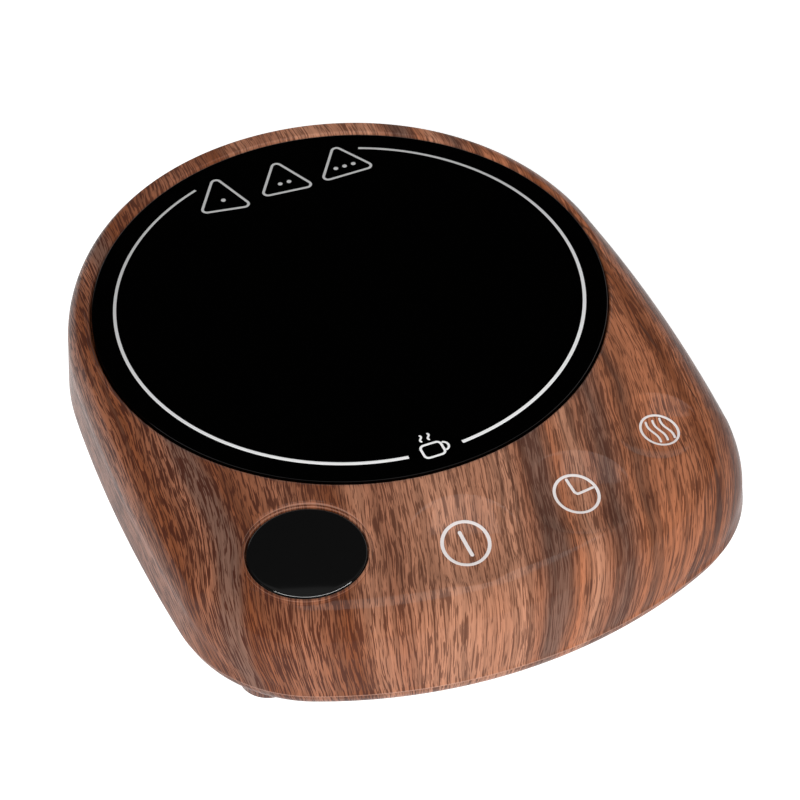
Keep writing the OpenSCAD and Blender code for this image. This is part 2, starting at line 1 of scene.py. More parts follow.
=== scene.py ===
# %% [markdown]
# # An electric mug warmer
# A mug warmer is a low moulded housing with a round glass hot plate, and a touch panel
# that rolls down to the front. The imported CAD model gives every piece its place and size.
# This script adds the looks: smooth skins for the mouldings, the printed wood grain, the
# marks on the glass and on the panel, the light and the camera.
# %% Load the frame
import json
import math

import bmesh
import bpy
import numpy as np
from mathutils import Matrix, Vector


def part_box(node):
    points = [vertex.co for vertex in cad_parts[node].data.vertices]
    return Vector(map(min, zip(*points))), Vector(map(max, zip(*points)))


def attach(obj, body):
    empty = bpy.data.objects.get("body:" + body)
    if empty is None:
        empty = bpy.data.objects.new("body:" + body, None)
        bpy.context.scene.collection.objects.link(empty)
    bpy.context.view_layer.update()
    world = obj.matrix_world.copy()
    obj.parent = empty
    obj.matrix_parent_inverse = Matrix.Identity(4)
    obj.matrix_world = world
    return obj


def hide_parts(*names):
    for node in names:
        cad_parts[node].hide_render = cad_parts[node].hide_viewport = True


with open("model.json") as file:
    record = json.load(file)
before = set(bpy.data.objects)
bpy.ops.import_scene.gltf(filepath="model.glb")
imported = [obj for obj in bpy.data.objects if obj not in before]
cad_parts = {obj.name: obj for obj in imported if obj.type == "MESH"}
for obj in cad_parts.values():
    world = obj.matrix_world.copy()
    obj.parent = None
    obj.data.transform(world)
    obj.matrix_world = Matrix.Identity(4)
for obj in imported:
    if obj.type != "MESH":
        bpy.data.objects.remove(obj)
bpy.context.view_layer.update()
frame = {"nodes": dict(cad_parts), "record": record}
MM = 0.001
BODY = "root"

# %% [markdown]
# ## The sizes that the frame gives
# The glass disc is the centre of the whole layout, so its middle and its top are read from
# the CAD node. Everything on the panel is then placed round that axis. The height of the
# lip, where the housing ends above the cover, is written out: the housing's box can't give
# it, because the screw posts inside reach lower than the lip.
# %% Sizes from the frame
glass_low, glass_high = (np.array(c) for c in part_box("glass_plate"))
AXIS = (glass_low + glass_high)[:2] / 2
TOP = glass_high[2]
GLASS_R = (glass_high - glass_low)[1] / 2
GLASS_Z = glass_low[2]
LIP_Z = 7.2 * MM
LEDGE_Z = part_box("glass_gasket")[0][2]
print("glass radius", round(GLASS_R / MM, 2), "mm, top", round(TOP / MM, 2), "mm")

# %% [markdown]
# ## The outline
# Seen from above, the housing is made of arcs that run smoothly into each other: a large
# round back about the glass, two gently bowed sides, two round front corners and a bowed
# front. A spline through points would also do, but it ripples between them, while arcs that
# touch need only their radii. A direction angle picks the arc, so one formula gives it all.
# %% The outline as arcs
BACK_R = GLASS_R + 6.3 * MM
SIDE_R = 363 * MM
CORNER_R = 29.5 * MM
FRONT_R = 99.7 * MM
CORNER = np.array([28.5 * MM, -GLASS_R - 2.8 * MM])


def side_centre():
    """The centre of a circle that holds both the back and the corner circle and touches them:
    it lies as far from each centre as the radii differ."""
    d = np.linalg.norm(CORNER)
    r0, r1 = SIDE_R - BACK_R, SIDE_R - CORNER_R
    along = CORNER / d
    across = np.array([-along[1], along[0]])
    a = (r0 * r0 - r1 * r1 + d * d) / (2 * d)
    h = math.sqrt(r0 * r0 - a * a)
    return min((along * a + across * h * s for s in (-1, 1)), key=lambda p: p[0])


# %% The four arcs of one half
SIDE = side_centre()
FRONT = np.array([0, CORNER[1] + math.sqrt((FRONT_R - CORNER_R) ** 2 - CORNER[0] ** 2)])
CENTRES = np.array([[0, 0], SIDE, CORNER, FRONT])
RADII = np.array([BACK_R, SIDE_R, CORNER_R, FRONT_R])
STARTS = np.array([math.atan2(*(-SIDE)[::-1]), math.atan2(*(CORNER - SIDE)[::-1]),
                   math.atan2(*(CORNER - FRONT)[::-1]), -math.pi / 2])


def outline(n, inset):
    """The point of the outline whose normal has the angle n, moved in by inset: the arc's
    centre plus its radius along the normal. The left half mirrors the right."""
    folded = np.where(np.cos(n) < 0, np.pi - n, n)
    folded = (folded + np.pi / 2) % (2 * np.pi) - np.pi / 2
    arc = np.argmax(folded[..., None] >= STARTS - 1e-12, axis=-1)
    r = RADII[arc] - inset
    x = CENTRES[arc, 0] + r * np.cos(folded)
    y = CENTRES[arc, 1] + r * np.sin(folded)
    return np.stack([np.where(np.cos(n) < 0, -x, x), y], axis=-1)


ends = outline(np.array([-np.pi / 2, np.pi / 2]), 0)[:, 1]
print("outline:", [round(y / MM, 1) for y in ends.tolist()], "mm before and behind the glass axis")

# %% [markdown]
# ## The panel and its rolled edge
# Round the glass the panel falls away as a very low cone. Outside it rolls over along a
# quarter ellipse, which is tight at the back and grows wide and deep towards the front. A
# bevel has one width all round, so the roll's width and height are formulas of the direction.
# %% The height of the skin
SLOPE = 0.05
SEAT_R = GLASS_R + 0.3 * MM
SEAT_ROUND = 1 * MM
EDGE_R = SEAT_R + SEAT_ROUND
DOME_R = EDGE_R + 0.2 * MM
DRAFT = 0.95 * MM
FRONT_DRAFT = 0.35 * MM
DRAFT_FROM, DRAFT_OVER = 0.4, 0.35
LIP_IN = 0.1 * MM
BACK_ROLL = np.array([1.15, 3.7]) * MM
FRONT_ROLL_W = 10 * MM
LAND = 0.6 * MM
ROLL_POWER = 1.5
ROLL_SWELL = 2.4
WALL = 2 * MM
TOP_ROWS = 80
WALL_ROWS = 7
ARC_POINTS = 7


def smooth(t):
    """Zero below 0, one above 1, and a smooth step between."""
    t = np.clip(t, 0, 1)
    return t * t * (3 - 2 * t)


def cone(r):
    """How far the panel lies below the glass top at the radius r: a slope times the run."""
    return SLOPE * np.maximum(0, r - DOME_R)


print("the panel falls away at", round(math.degrees(math.atan(SLOPE)), 1), "degrees")


# %% The roll by direction
def share(n):
    """0 at the back and 1 at the front, as a power of half of one minus the sine."""
    return ((1 - np.sin(n)) / 2) ** ROLL_POWER


def draft(n):
    """How far the wall leans in over its height: less at the front, where it is short."""
    return DRAFT - (DRAFT - FRONT_DRAFT) * smooth((share(n) - DRAFT_FROM) / DRAFT_OVER)


def roll_width(n):
    """From the back width to the front width, reached early: one minus a power of what is
    left of the share."""
    return BACK_ROLL[0] + (FRONT_ROLL_W - BACK_ROLL[0]) * (1 - (1 - share(n)) ** ROLL_SWELL)


def roll_height(n):
    """From the back height to all the room above the lip, less a short straight land."""
    room = TOP - LIP_Z - cone(np.linalg.norm(outline(n, 0), axis=-1)) - LAND
    return BACK_ROLL[1] + (room - BACK_ROLL[1]) * share(n)


def rolled(n, a, inset=0.0, drop=0.0):
    """A point of the rolled edge at the normal n and the turn a, from 0 on the panel to a
    quarter turn on the wall. The inset and the drop give the inside of the shell."""
    flat = outline(n, draft(n) + roll_width(n) * (1 - np.sin(a)) + inset)
    at = outline(n, draft(n) + roll_width(n) * (1 - np.sin(a)))
    z = TOP - cone(np.linalg.norm(at, axis=-1)) - roll_height(n) * (1 - np.cos(a)) - drop
    return np.concatenate([flat, z[..., None]], axis=-1)


for where, angle in (("back", math.pi / 2), ("front", -math.pi / 2)):
    size = [round(float(part(np.array(angle))) / MM, 1) for part in (roll_width, roll_height)]
    print(where, "roll:", size[0], "mm wide and", size[1], "mm high")

# %% [markdown]
# ## The keys and the lens
# The lens and the three touch keys lie on one arc about the glass. Each key has a shallow
# round hollow with a crisp rim, which guides the fingertip. The lens lies level. Every other
# shape needs the skin's height, so it is a function, which takes the hollows off the panel.
# %% Places on the panel
KEY_ARC = GLASS_R + 18.2 * MM
KEY_ANGLES = np.radians([-94.3, -74.2, -54.9])
KEYS = KEY_ARC * np.stack([np.cos(KEY_ANGLES), np.sin(KEY_ANGLES)], axis=-1)
HOLLOW_R = np.array([10.8, 10.6, 8.7]) * MM
HOLLOW_DEPTH = 1.3 * MM
HOLLOW_POWER = 2.4
HOLLOW_END = 1.3
RIM_SOFT = 0.015 * HOLLOW_DEPTH
LENS_ANGLE = math.radians(-118.4)
LENS_ARC = GLASS_R + 17.7 * MM
LENS = LENS_ARC * np.array([math.cos(LENS_ANGLE), math.sin(LENS_ANGLE)])
LENS_R = 11.3 * MM
LENS_T = 2.2 * MM
LENS_TOP = TOP - 0.4 * MM
RING_R = LENS_R + 0.9 * MM
RING_TOP = LENS_TOP - 0.2 * MM
print("keys at", (KEYS / MM).round(1).tolist(), "and lens at", (LENS / MM).round(1).tolist(), "mm")


# %% The hollows and the height
def hollow(xy):
    """The depth of the finger hollows: one minus a power of the radius in each circle, and
    zero outside. A square root rounds the change at the rim."""
    depth = np.zeros(xy.shape[:-1])
    for key, radius in zip(KEYS, HOLLOW_R):
        d = np.linalg.norm(xy - key, axis=-1) / radius
        bowl = HOLLOW_DEPTH * (1 - d ** HOLLOW_POWER)
        depth = depth + (bowl + np.sqrt(bowl * bowl + RIM_SOFT * RIM_SOFT)) / 2 * (d < HOLLOW_END)
    return depth


def height(xy):
    """The skin's height above the table at a point of the panel. The arc that faces the
    point gives its inset, and the inset gives the turn of the ellipse there."""
    x, y = np.abs(xy[..., 0]), xy[..., 1]
    away = np.stack([x, y], axis=-1)[..., None, :] - CENTRES
    angle = np.arctan2(away[..., 1], away[..., 0])
    arc = np.argmax(angle >= STARTS - 1e-9, axis=-1)[..., None]
    n = np.take_along_axis(angle, arc, -1)[..., 0]
    inset = np.take_along_axis(RADII - np.linalg.norm(away, axis=-1), arc, -1)[..., 0]
    sine = np.clip(1 - (inset - draft(n)) / roll_width(n), 0, 1)
    z = TOP - cone(np.linalg.norm(xy, axis=-1)) - roll_height(n) * (1 - np.sqrt(1 - sine ** 2))
    return z - hollow(xy)


print("panel at the lens:", round(float(TOP - height(LENS)) / MM, 2), "mm below the glass")

# %% [markdown]
# ## The wood print's flat map
# The real housing is plastic, dipped in a film that is printed with wood grain. The film
# stretches over the top and down the walls without a break. So the skin carries a flat
# map: a point on the panel keeps its place, and a point on the wall goes outwards by the
# distance along the skin. The print's material then reads only this map.
# %% The flat map of the print
PRINT = "print"
print("the print reads the map named", PRINT)

# %% [markdown]
# ## From arrays to meshes
# A surface is a grid of points. Wrapping the grid one way makes a tube, and both ways a
# closed ring. One helper turns any such grid into a mesh, and turns its faces outwards:
# a closed shape whose signed volume is negative is inside out. An edge that bends more than
# SHARP degrees is drawn sharp, and the rest are smooth.
# %% Mesh helpers
SHARP = 35


def grid_faces(rows, cols, wrap_rows, wrap_cols):
    """Quads between neighbouring rows and columns, as index arrays."""
    i = np.arange(rows if wrap_rows else rows - 1)
    j = np.arange(cols if wrap_cols else cols - 1)
    i, j = np.meshgrid(i, j, indexing="ij")
    i2, j2 = (i + 1) % rows, (j + 1) % cols
    return np.stack([i * cols + j, i * cols + j2, i2 * cols + j2, i2 * cols + j], -1).reshape(-1, 4)


def turn_out(mesh):
    """Reverses every face if the shape's signed volume is negative."""
    shape = bmesh.new()
    shape.from_mesh(mesh)
    if shape.calc_volume(signed=True) < 0:
        bmesh.ops.reverse_faces(shape, faces=shape.faces)
        shape.to_mesh(mesh)
    shape.free()


# %% A mesh from an array
def mesh_object(name, points, faces, prints=None, sharp=SHARP):
    """A closed mesh object on the glass axis. prints is one place on the print per point."""
    mesh = bpy.data.meshes.new(name)
    points = points + np.array([AXIS[0], AXIS[1], 0])
    mesh.from_pydata(points.tolist(), [], [list(map(int, f)) for f in faces])
    if prints is not None:
        layer = mesh.uv_layers.new(name=PRINT)
        corner = np.zeros(len(mesh.loops), int)
        mesh.loops.foreach_get("vertex_index", corner)
        layer.uv.foreach_set("vector", prints[corner].astype(np.float32).ravel())
    turn_out(mesh)
    mesh.polygons.foreach_set("use_smooth", np.ones(len(mesh.polygons), bool))
    mesh.set_sharp_from_angle(angle=math.radians(sharp))
    made = bpy.data.objects.new(name, mesh)
    bpy.context.scene.collection.objects.link(made)
    return made


# %% Stacked and turned solids
def stacked(name, rings, prints=None, **more):
    """A closed solid from a stack of rings of points, with a flat cap at each end."""
    rows, cols = rings.shape[:2]
    points = rings.reshape(-1, 3)
    faces = grid_faces(rows, cols, False, True).tolist()
    faces += [list(range(cols))[::-1], [(rows - 1) * cols + k for k in range(cols)]]
    if prints is None:
        prints = points[:, :2]
    return mesh_object(name, points, faces, prints, **more)


def turned(name, profile, centre, steps=192, along_y=False, **more):
    """A solid of revolution: a profile of radius and height carried round an axis through
    the centre, which points up, or to the back."""
    r, z = np.array(profile).T
    turn = np.linspace(0, 2 * np.pi, steps, endpoint=False)
    rings = np.stack([np.outer(r, np.cos(turn)), np.outer(r, np.sin(turn)),
                      np.repeat(z[:, None], steps, 1)], -1)
    if along_y:
        rings = np.stack([rings[..., 0], rings[..., 2], -rings[..., 1]], -1)
    return stacked(name, rings + np.array(centre), **more)


def quarter(r, z, size, steps=6):
    """The points of a rounded edge, from the side up to the flat that ends at r and z."""
    t = np.linspace(0, np.pi / 2, steps + 1)
    return list(zip(r - size * (1 - np.cos(t)), z - size * (1 - np.sin(t))))


# %% [markdown]
# ## The housing
# The housing is a shell, so its section is a closed loop: the ledge under the glass, the
# seat wall, the panel, the roll, the wall, the lip and then back along the inside. That
# loop is carried round the outline, which makes one closed ring. A surface with a Solidify
# modifier would be less work, but its inside couldn't have the ledge.
# %% The columns of the skin
SPACING = 0.5 * MM
BACK_WIDER = 1.6
QUARTER = np.pi / 2


def directions():
    """The angles of the outline's normals, spaced evenly along the edge: closely at the
    front half, where the hollows are, and wider at the back."""
    ends = np.append(STARTS[::-1], np.pi / 2)
    spans = []
    for radius, a, b in zip(RADII[::-1], ends[:-1], ends[1:]):
        step = SPACING * (BACK_WIDER if a > 0 else 1)
        spans.append(np.linspace(a, b, max(4, int(radius * (b - a) / step)), endpoint=False))
    right = np.concatenate(spans)
    return np.concatenate([right, [np.pi / 2], np.pi - right[:0:-1]])


NORMALS = directions()
OUT = np.stack([np.cos(NORMALS), np.sin(NORMALS)], -1)
print(len(NORMALS), "columns round the outline")


# %% Where the roll begins
def first_turn():
    """The turn of the roll at its inner end, for each column: zero where the panel lies
    between the glass and the roll, and at the sides the turn that meets the seat. It is
    found by halving."""
    low, high = np.zeros(len(NORMALS)), np.full(len(NORMALS), QUARTER)
    for _ in range(40):
        mid = (low + high) / 2
        inside = np.linalg.norm(rolled(NORMALS, mid)[:, :2], axis=-1) < EDGE_R
        low, high = np.where(inside, mid, low), np.where(inside, high, mid)
    start = np.linalg.norm(rolled(NORMALS, np.zeros(len(NORMALS)))[:, :2], axis=-1)
    return np.where(start < EDGE_R, high, 0)


FIRST = first_turn()
ROLL_START = rolled(NORMALS, FIRST)[:, :2]
START_R = np.linalg.norm(ROLL_START, axis=-1)
RADIAL = ROLL_START / START_R[:, None]
print("the panel is", round(float(START_R.max() - SEAT_R) / MM, 1), "mm wide where it is widest")


# %% Points by radius and by inset
def at_radius(r, z):
    """Points at the polar direction of each column, at one radius and height."""
    r = np.broadcast_to(r, START_R.shape)
    return np.concatenate([RADIAL * r[:, None], np.broadcast_to(z, r.shape)[:, None]], -1)


def at_inset(inset, z):
    """Points of the outline moved in, at one height."""
    return np.concatenate([outline(NORMALS, inset), np.broadcast_to(z, NORMALS.shape)[:, None]], -1)


# %% The rows of the skin
def roll_run(a):
    """The length along the roll from its inner end to the turn a, from a table of chords."""
    steps = 80
    table = FIRST + (QUARTER - FIRST) * np.linspace(0, 1, steps + 1)[:, None]
    points = rolled(NORMALS[None, :] + 0 * table, table)
    chords = np.linalg.norm(np.diff(points, axis=0), axis=-1)
    total = np.concatenate([np.zeros((1, len(NORMALS))), np.cumsum(chords, axis=0)])
    at = np.clip((a - FIRST) / (QUARTER - FIRST), 0, 1) * steps
    k = np.minimum(at.astype(int), steps - 1)
    low = np.take_along_axis(total, k, 0)
    return low + (np.take_along_axis(total, k + 1, 0) - low) * (at - k)


def top_rows(count):
    """The panel and the roll in one sweep from the seat to the wall, spread evenly, and the
    place of each point on the flattened skin."""
    panel_run = START_R - EDGE_R
    mean = np.sqrt((roll_width(NORMALS) ** 2 + roll_height(NORMALS) ** 2) / 2)
    roll_share = mean * (QUARTER - FIRST)
    s = np.linspace(0, 1, count)[:, None] * (panel_run + roll_share)
    a = FIRST + np.clip((s - panel_run) / roll_share, 0, 1) * (QUARTER - FIRST)
    panel = RADIAL * (EDGE_R + s)[..., None]
    panel_z = TOP - cone(EDGE_R + s)
    on_panel = (s < panel_run)[..., None]
    points = np.where(on_panel, np.concatenate([panel, panel_z[..., None]], -1),
                      rolled(NORMALS[None, :] + 0 * a, a))
    flats = np.where(on_panel, panel, ROLL_START + OUT * roll_run(a)[..., None])
    points[..., 2] -= hollow(points[..., :2])
    return points, flats


# %% The wall and the lip
def wall_rows(top, run):
    """The wall down to the lip with its small round, the place of each point on the
    flattened skin, and the run down to the lip."""
    round_r, lean = 0.2 * MM, draft(NORMALS)
    rows, flats, last = [], [], top
    for part in np.linspace(0, 1, WALL_ROWS)[1:]:
        p = at_inset(lean + (LIP_IN - lean) * part, top[:, 2] + (LIP_Z + round_r - top[:, 2]) * part)
        run = run + np.linalg.norm(p - last, axis=-1)
        last = p
        rows.append(p)
        flats.append(ROLL_START + OUT * run[:, None])
    for t in np.radians([30, 60, 90]):
        rows.append(at_inset(LIP_IN + round_r * (1 - np.cos(t)), LIP_Z + round_r * (1 - np.sin(t))))
    rows.append(at_inset(WALL, LIP_Z))
    return rows, flats + [flats[-1]] * 4, run


# %% The whole section
def housing_rows():
    """The closed section: the seat, the outside, the lip and the inside."""
    top, flats = top_rows(TOP_ROWS)
    ledge_in, ledge_t = SEAT_R - 3.3 * MM, 1.6 * MM
    seat = [at_radius(ledge_in, LEDGE_Z), at_radius(SEAT_R, LEDGE_Z)]
    for t in np.linspace(0, QUARTER, ARC_POINTS)[:-1]:
        seat.append(at_radius(SEAT_R + SEAT_ROUND * (1 - np.cos(t)),
                              top[0, :, 2] - SEAT_ROUND * (1 - np.sin(t))))
    wall, wall_flats, run = wall_rows(top[-1], np.linalg.norm(flats[-1] - ROLL_START, axis=-1))
    inner = [rolled(NORMALS, FIRST + (QUARTER - FIRST) * part, WALL, WALL)
             for part in np.linspace(1, 0, WALL_ROWS)]
    inner_r = np.linalg.norm(inner[-1][:, :2], axis=-1)
    collar = np.maximum(np.minimum(SEAT_R + 3 * MM, inner_r - 0.1 * MM), ledge_in + 0.3 * MM)
    low = LEDGE_Z - ledge_t
    back = [at_radius(collar, np.maximum(inner[-1][:, 2] - 0.1 * MM, low + 0.2 * MM)),
            at_radius(collar, low), at_radius(ledge_in, low)]
    rows = np.concatenate([seat, top, wall, inner, back])
    seat_flats = [row[:, :2] for row in seat]
    flats = np.concatenate([seat_flats, flats, wall_flats, [wall_flats[-1]] * (len(inner) + len(back))])
    return rows, flats, run


# %% The housing's skin
ROWS, FLATS, WALL_RUN = housing_rows()
housing = mesh_object("housing_skin", ROWS.reshape(-1, 3),
                      grid_faces(*ROWS.shape[:2], True, True),
                      FLATS.reshape(-1, 2))
print("housing skin:", len(housing.data.polygons), "quads")

# %% [markdown]
# ## The lens seat and the gland seat
# The lens sits in a level ring. At the back the ring is sunk in the panel, and at the front
# it stands proud, because the panel falls away under it. So the panel is first cut away
# above the ring, then the ring is joined on, and last the recess and its window are cut.
# Booleans do this as a mill would, and the tools follow the skin where it is rounded.
# %% Cutting and joining
def carve(target, operation, *tools):
    """Cuts the tools out of the target or joins them to it for good, and removes them."""
    group = bpy.data.collections.new("tools")
    for tool in tools:
        group.objects.link(tool)
    modifier = target.modifiers.new("carve", "BOOLEAN")
    modifier.operand_type = "COLLECTION"
    modifier.collection = group
    modifier.operation = operation
    modifier.solver = "MANIFOLD"
    bpy.context.view_layer.update()
    result = target.evaluated_get(bpy.context.evaluated_depsgraph_get())
    mesh = bpy.data.meshes.new_from_object(result)
    target.modifiers.clear()
    old = target.data
    target.data = mesh
    bpy.data.meshes.remove(old)
    for tool in tools:
        bpy.data.objects.remove(tool)
    bpy.data.collections.remove(group)
    mesh.polygons.foreach_set("use_smooth", np.ones(len(mesh.polygons), bool))
    mesh.set_sharp_from_angle(angle=math.radians(SHARP))


# %% The shapes round the lens
SPOKES = np.linspace(0, 2 * np.pi, 240, endpoint=False)
SPOKES = np.stack([np.cos(SPOKES), np.sin(SPOKES)], -1)


def lens_ring(r, z):
    """A circle about the lens, with one radius and height for all spokes or one for each."""
    r = np.broadcast_to(r, len(SPOKES))
    z = np.broadcast_to(z, len(SPOKES))
    return np.concatenate([LENS + SPOKES * r[:, None], z[:, None]], -1)


def sunk_cutter():
    """The room above the ring: straight up, then a quarter-round flare to the skin, or to
    just above the ring where the skin is lower."""
    flare = 0.35 * MM
    edge = np.maximum(height(LENS + SPOKES * (RING_R + flare)) + 0.01 * MM, RING_TOP + 0.05 * MM)
    rings = [lens_ring(RING_R, RING_TOP - 0.35 * MM)]
    rings += [lens_ring(RING_R + flare * (1 - math.cos(t)), edge - flare * (1 - math.sin(t)))
              for t in np.linspace(0, QUARTER, ARC_POINTS)]
    rings.append(lens_ring(RING_R + flare, TOP + 3 * MM))
    return stacked("sunk_cutter", np.stack(rings))


def ring_solid():
    """The ring: a small fillet at its foot where it stands proud, and a rounded top edge."""
    skin = height(LENS + SPOKES * (RING_R + 0.3 * MM))
    foot = np.minimum(skin - 0.1 * MM, RING_TOP - 0.5 * MM)
    fillet = 0.004 * MM + 0.35 * MM * smooth((RING_TOP - skin - 0.35 * MM) / (0.4 * MM))
    edge, radius = 0.25 * MM, RING_R - 0.04 * MM
    rings = [lens_ring(radius, LENS_TOP - 3.8 * MM), lens_ring(radius, foot - 0.3 * MM)]
    rings += [lens_ring(radius + fillet * (1 - math.sin(t)), foot + fillet * (1 - math.cos(t)))
              for t in np.linspace(0, QUARTER, 6)]
    rings += [lens_ring(r, z) for r, z in quarter(radius, RING_TOP, edge)]
    return stacked("ring_solid", np.stack(rings))


# %% The recess for the lens
def recess_cutter():
    """The window, the rest that carries the lens, and the recess with a slightly eased rim."""
    r, window, ease = LENS_R + 0.25 * MM, LENS_R - 2 * MM, 0.12 * MM
    rest = LENS_TOP - LENS_T
    profile = [(window, LENS_TOP - 8 * MM), (window, rest), (r, rest), (r, RING_TOP - ease),
               (r + ease * 0.3, RING_TOP - ease * 0.3), (r + ease, RING_TOP + 0.01 * MM),
               (r + ease, TOP + 3 * MM)]
    return turned("recess_cutter", profile, (*LENS, 0), 240)


# %% The gland's place
gland_low, gland_high = (np.array(c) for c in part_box("cord_gland"))
GLAND_Z = (gland_low + gland_high)[2] / 2
FLANGE_R = (gland_high - gland_low)[0] / 2
NECK_R = FLANGE_R - 1.5 * MM
GLAND_IN, GLAND_OUT = gland_low[1] - AXIS[1], gland_high[1] - AXIS[1]


# %% The gland's seat
def gland_seat():
    """A flat round seat on the curved back wall, so that the flange lies flat. It carries
    on the wall's print, whose place goes outwards as the height falls."""
    seat_r = FLANGE_R + 0.5 * MM
    profile = [(seat_r, BACK_R - DRAFT - WALL / 2)] + quarter(seat_r, BACK_R, 0.2 * MM)
    made = turned("gland_seat", profile, (0, 0, GLAND_Z), 128, along_y=True)
    place = np.array([v.co for v in made.data.vertices]) - [*AXIS, 0]
    corner = np.zeros(len(made.data.loops), int)
    made.data.loops.foreach_get("vertex_index", corner)
    flat = np.stack([place[:, 0], BACK_R + TOP - place[:, 2]], -1)
    made.data.uv_layers[PRINT].uv.foreach_set("vector", flat[corner].astype(np.float32).ravel())
    return made


# %% The cuts
carve(housing, "DIFFERENCE", sunk_cutter())
carve(housing, "UNION", ring_solid(), gland_seat())
carve(housing, "DIFFERENCE", recess_cutter(),
      turned("neck_cutter", [(NECK_R + 0.1 * MM, GLAND_IN), (NECK_R + 0.1 * MM, GLAND_OUT)],
             (0, 0, GLAND_Z), 96, along_y=True))
print("after the cuts:", len(housing.data.polygons), "faces")

# %% [markdown]
# ## Shader building
# Nodes are made by a small helper. Finishes that several pieces share, such as the fine
# mottle of moulded plastic, are node groups with named inputs, built once.
# %% Shader helpers
def add(tree, kind, inputs=None, **settings):
    """A node with its settings and its input values or links."""
    made = tree.nodes.new(kind)
    for key, value in settings.items():
        setattr(made, key, value)
    for key, value in (inputs or {}).items():
        if isinstance(value, bpy.types.NodeSocket):
            tree.links.new(value, made.inputs[key])
        else:
            made.inputs[key].default_value = value
    return made


def linear(r, g, b):
    """A colour given as 0 to 255 display values, turned into linear light."""
    c = np.array([r, g, b]) / 255
    c = np.where(c <= 0.04045, c / 12.92, ((c + 0.055) / 1.055) ** 2.4)
    return (*c.tolist(), 1.0)


print("a display grey of 128 is", round(linear(128, 128, 128)[0], 3), "in linear light")


def shader(name):
    """A new material with one Principled shader: the material, its tree and the shader."""
    made = bpy.data.materials.new(name)
    made.use_nodes = True
    tree = made.node_tree
    tree.nodes.clear()
    surface = add(tree, "ShaderNodeBsdfPrincipled")
    out = add(tree, "ShaderNodeOutputMaterial")
    tree.links.new(surface.outputs[0], out.inputs[0])
    return made, tree, surface


# %% Sums of nodes
def math_node(tree, operation, a, b=0.0, clamp=False):
    return add(tree, "ShaderNodeMath", {0: a, 1: b}, operation=operation, use_clamp=clamp).outputs[0]


def plus(tree, a, b):
    return math_node(tree, "ADD", a, b)


def minus(tree, a, b):
    return math_node(tree, "SUBTRACT", a, b)


def times(tree, a, b):
    return math_node(tree, "MULTIPLY", a, b)


def between(tree, value, start, end, low, high, kind="LINEAR"):
    """The low value before the start, the high one after the end, and a run between them."""
    ends = {"Value": value, "From Min": start, "From Max": end, "To Min": low, "To Max": high}
    return add(tree, "ShaderNodeMapRange", ends, interpolation_type=kind).outputs[0]


# %% Colours mixed and ramped
def mix(tree, factor, a, b, blend="MIX"):
    """Two colours mixed by a factor."""
    made = add(tree, "ShaderNodeMix", data_type="RGBA", blend_type=blend)
    for key, value in (("Factor_Float", factor), ("A_Color", a), ("B_Color", b)):
        socket = next(s for s in made.inputs if s.identifier == key)
        if isinstance(value, bpy.types.NodeSocket):
            tree.links.new(value, socket)
        else:
            socket.default_value = value
    return next(s for s in made.outputs if s.identifier == "Result_Color")


def ramp(tree, factor, stops, mode="LINEAR"):
    """A colour ramp from a list of place and colour."""
    made = add(tree, "ShaderNodeValToRGB", {0: factor})
    made.color_ramp.interpolation = mode
    elements = made.color_ramp.elements
    while len(elements) < len(stops):
        elements.new(0.5)
    for element, (place, colour) in zip(elements, stops):
        element.position = place
        element.color = colour
    return made.outputs[0]


def grey(v):
    return (v, v, v, 1.0)


# %% A group: fine mottle
def mottle_group():
    """Soft noise of five octaves on Object coordinates: a value about one, and a small bump."""
    group = bpy.data.node_groups.new("mottle", "ShaderNodeTree")
    face = group.interface
    for name in ("Scale", "Amount", "Bump"):
        face.new_socket(name, in_out="INPUT", socket_type="NodeSocketFloat")
    face.new_socket("Value", in_out="OUTPUT", socket_type="NodeSocketFloat")
    face.new_socket("Normal", in_out="OUTPUT", socket_type="NodeSocketVector")
    given = add(group, "NodeGroupInput")
    out = add(group, "NodeGroupOutput")
    place = add(group, "ShaderNodeTexCoord").outputs["Object"]
    noise = add(group, "ShaderNodeTexNoise", {"Vector": place, "Scale": given.outputs["Scale"],
                                              "Detail": 5.0}).outputs[0]
    swing = times(group, minus(group, noise, 0.5), given.outputs["Amount"])
    group.links.new(plus(group, swing, 1.0), out.inputs["Value"])
    bump = add(group, "ShaderNodeBump", {"Height": noise, "Strength": given.outputs["Bump"],
                                         "Distance": 0.2 * MM})
    group.links.new(bump.outputs[0], out.inputs["Normal"])
    return group


MOTTLE = mottle_group()
print("node group:", MOTTLE.name, "with", len(MOTTLE.nodes), "nodes")


# %% Plain finishes
def mottled(tree, surface, colour, scale, amount, bump):
    """Puts a mottled colour and its bump on the shader, and gives the mottle's value."""
    mottle = add(tree, "ShaderNodeGroup", node_tree=MOTTLE)
    for name, value in (("Scale", scale), ("Amount", amount), ("Bump", bump)):
        mottle.inputs[name].default_value = value
    value = mottle.outputs["Value"]
    tree.links.new(mix(tree, 1.0, colour, value, "MULTIPLY"), surface.inputs["Base Color"])
    tree.links.new(mottle.outputs["Normal"], surface.inputs["Normal"])
    return value


def finish(name, colour, roughness, metallic=0.0, scale=900.0, amount=0.25, bump=0.15):
    """A plain real finish: its colour and gloss varied a little by the mottle group."""
    made, tree, surface = shader(name)
    value = mottled(tree, surface, linear(*colour), scale, amount, bump)
    tree.links.new(math_node(tree, "MULTIPLY", value, roughness, True), surface.inputs["Roughness"])
    surface.inputs["Metallic"].default_value = metallic
    return made


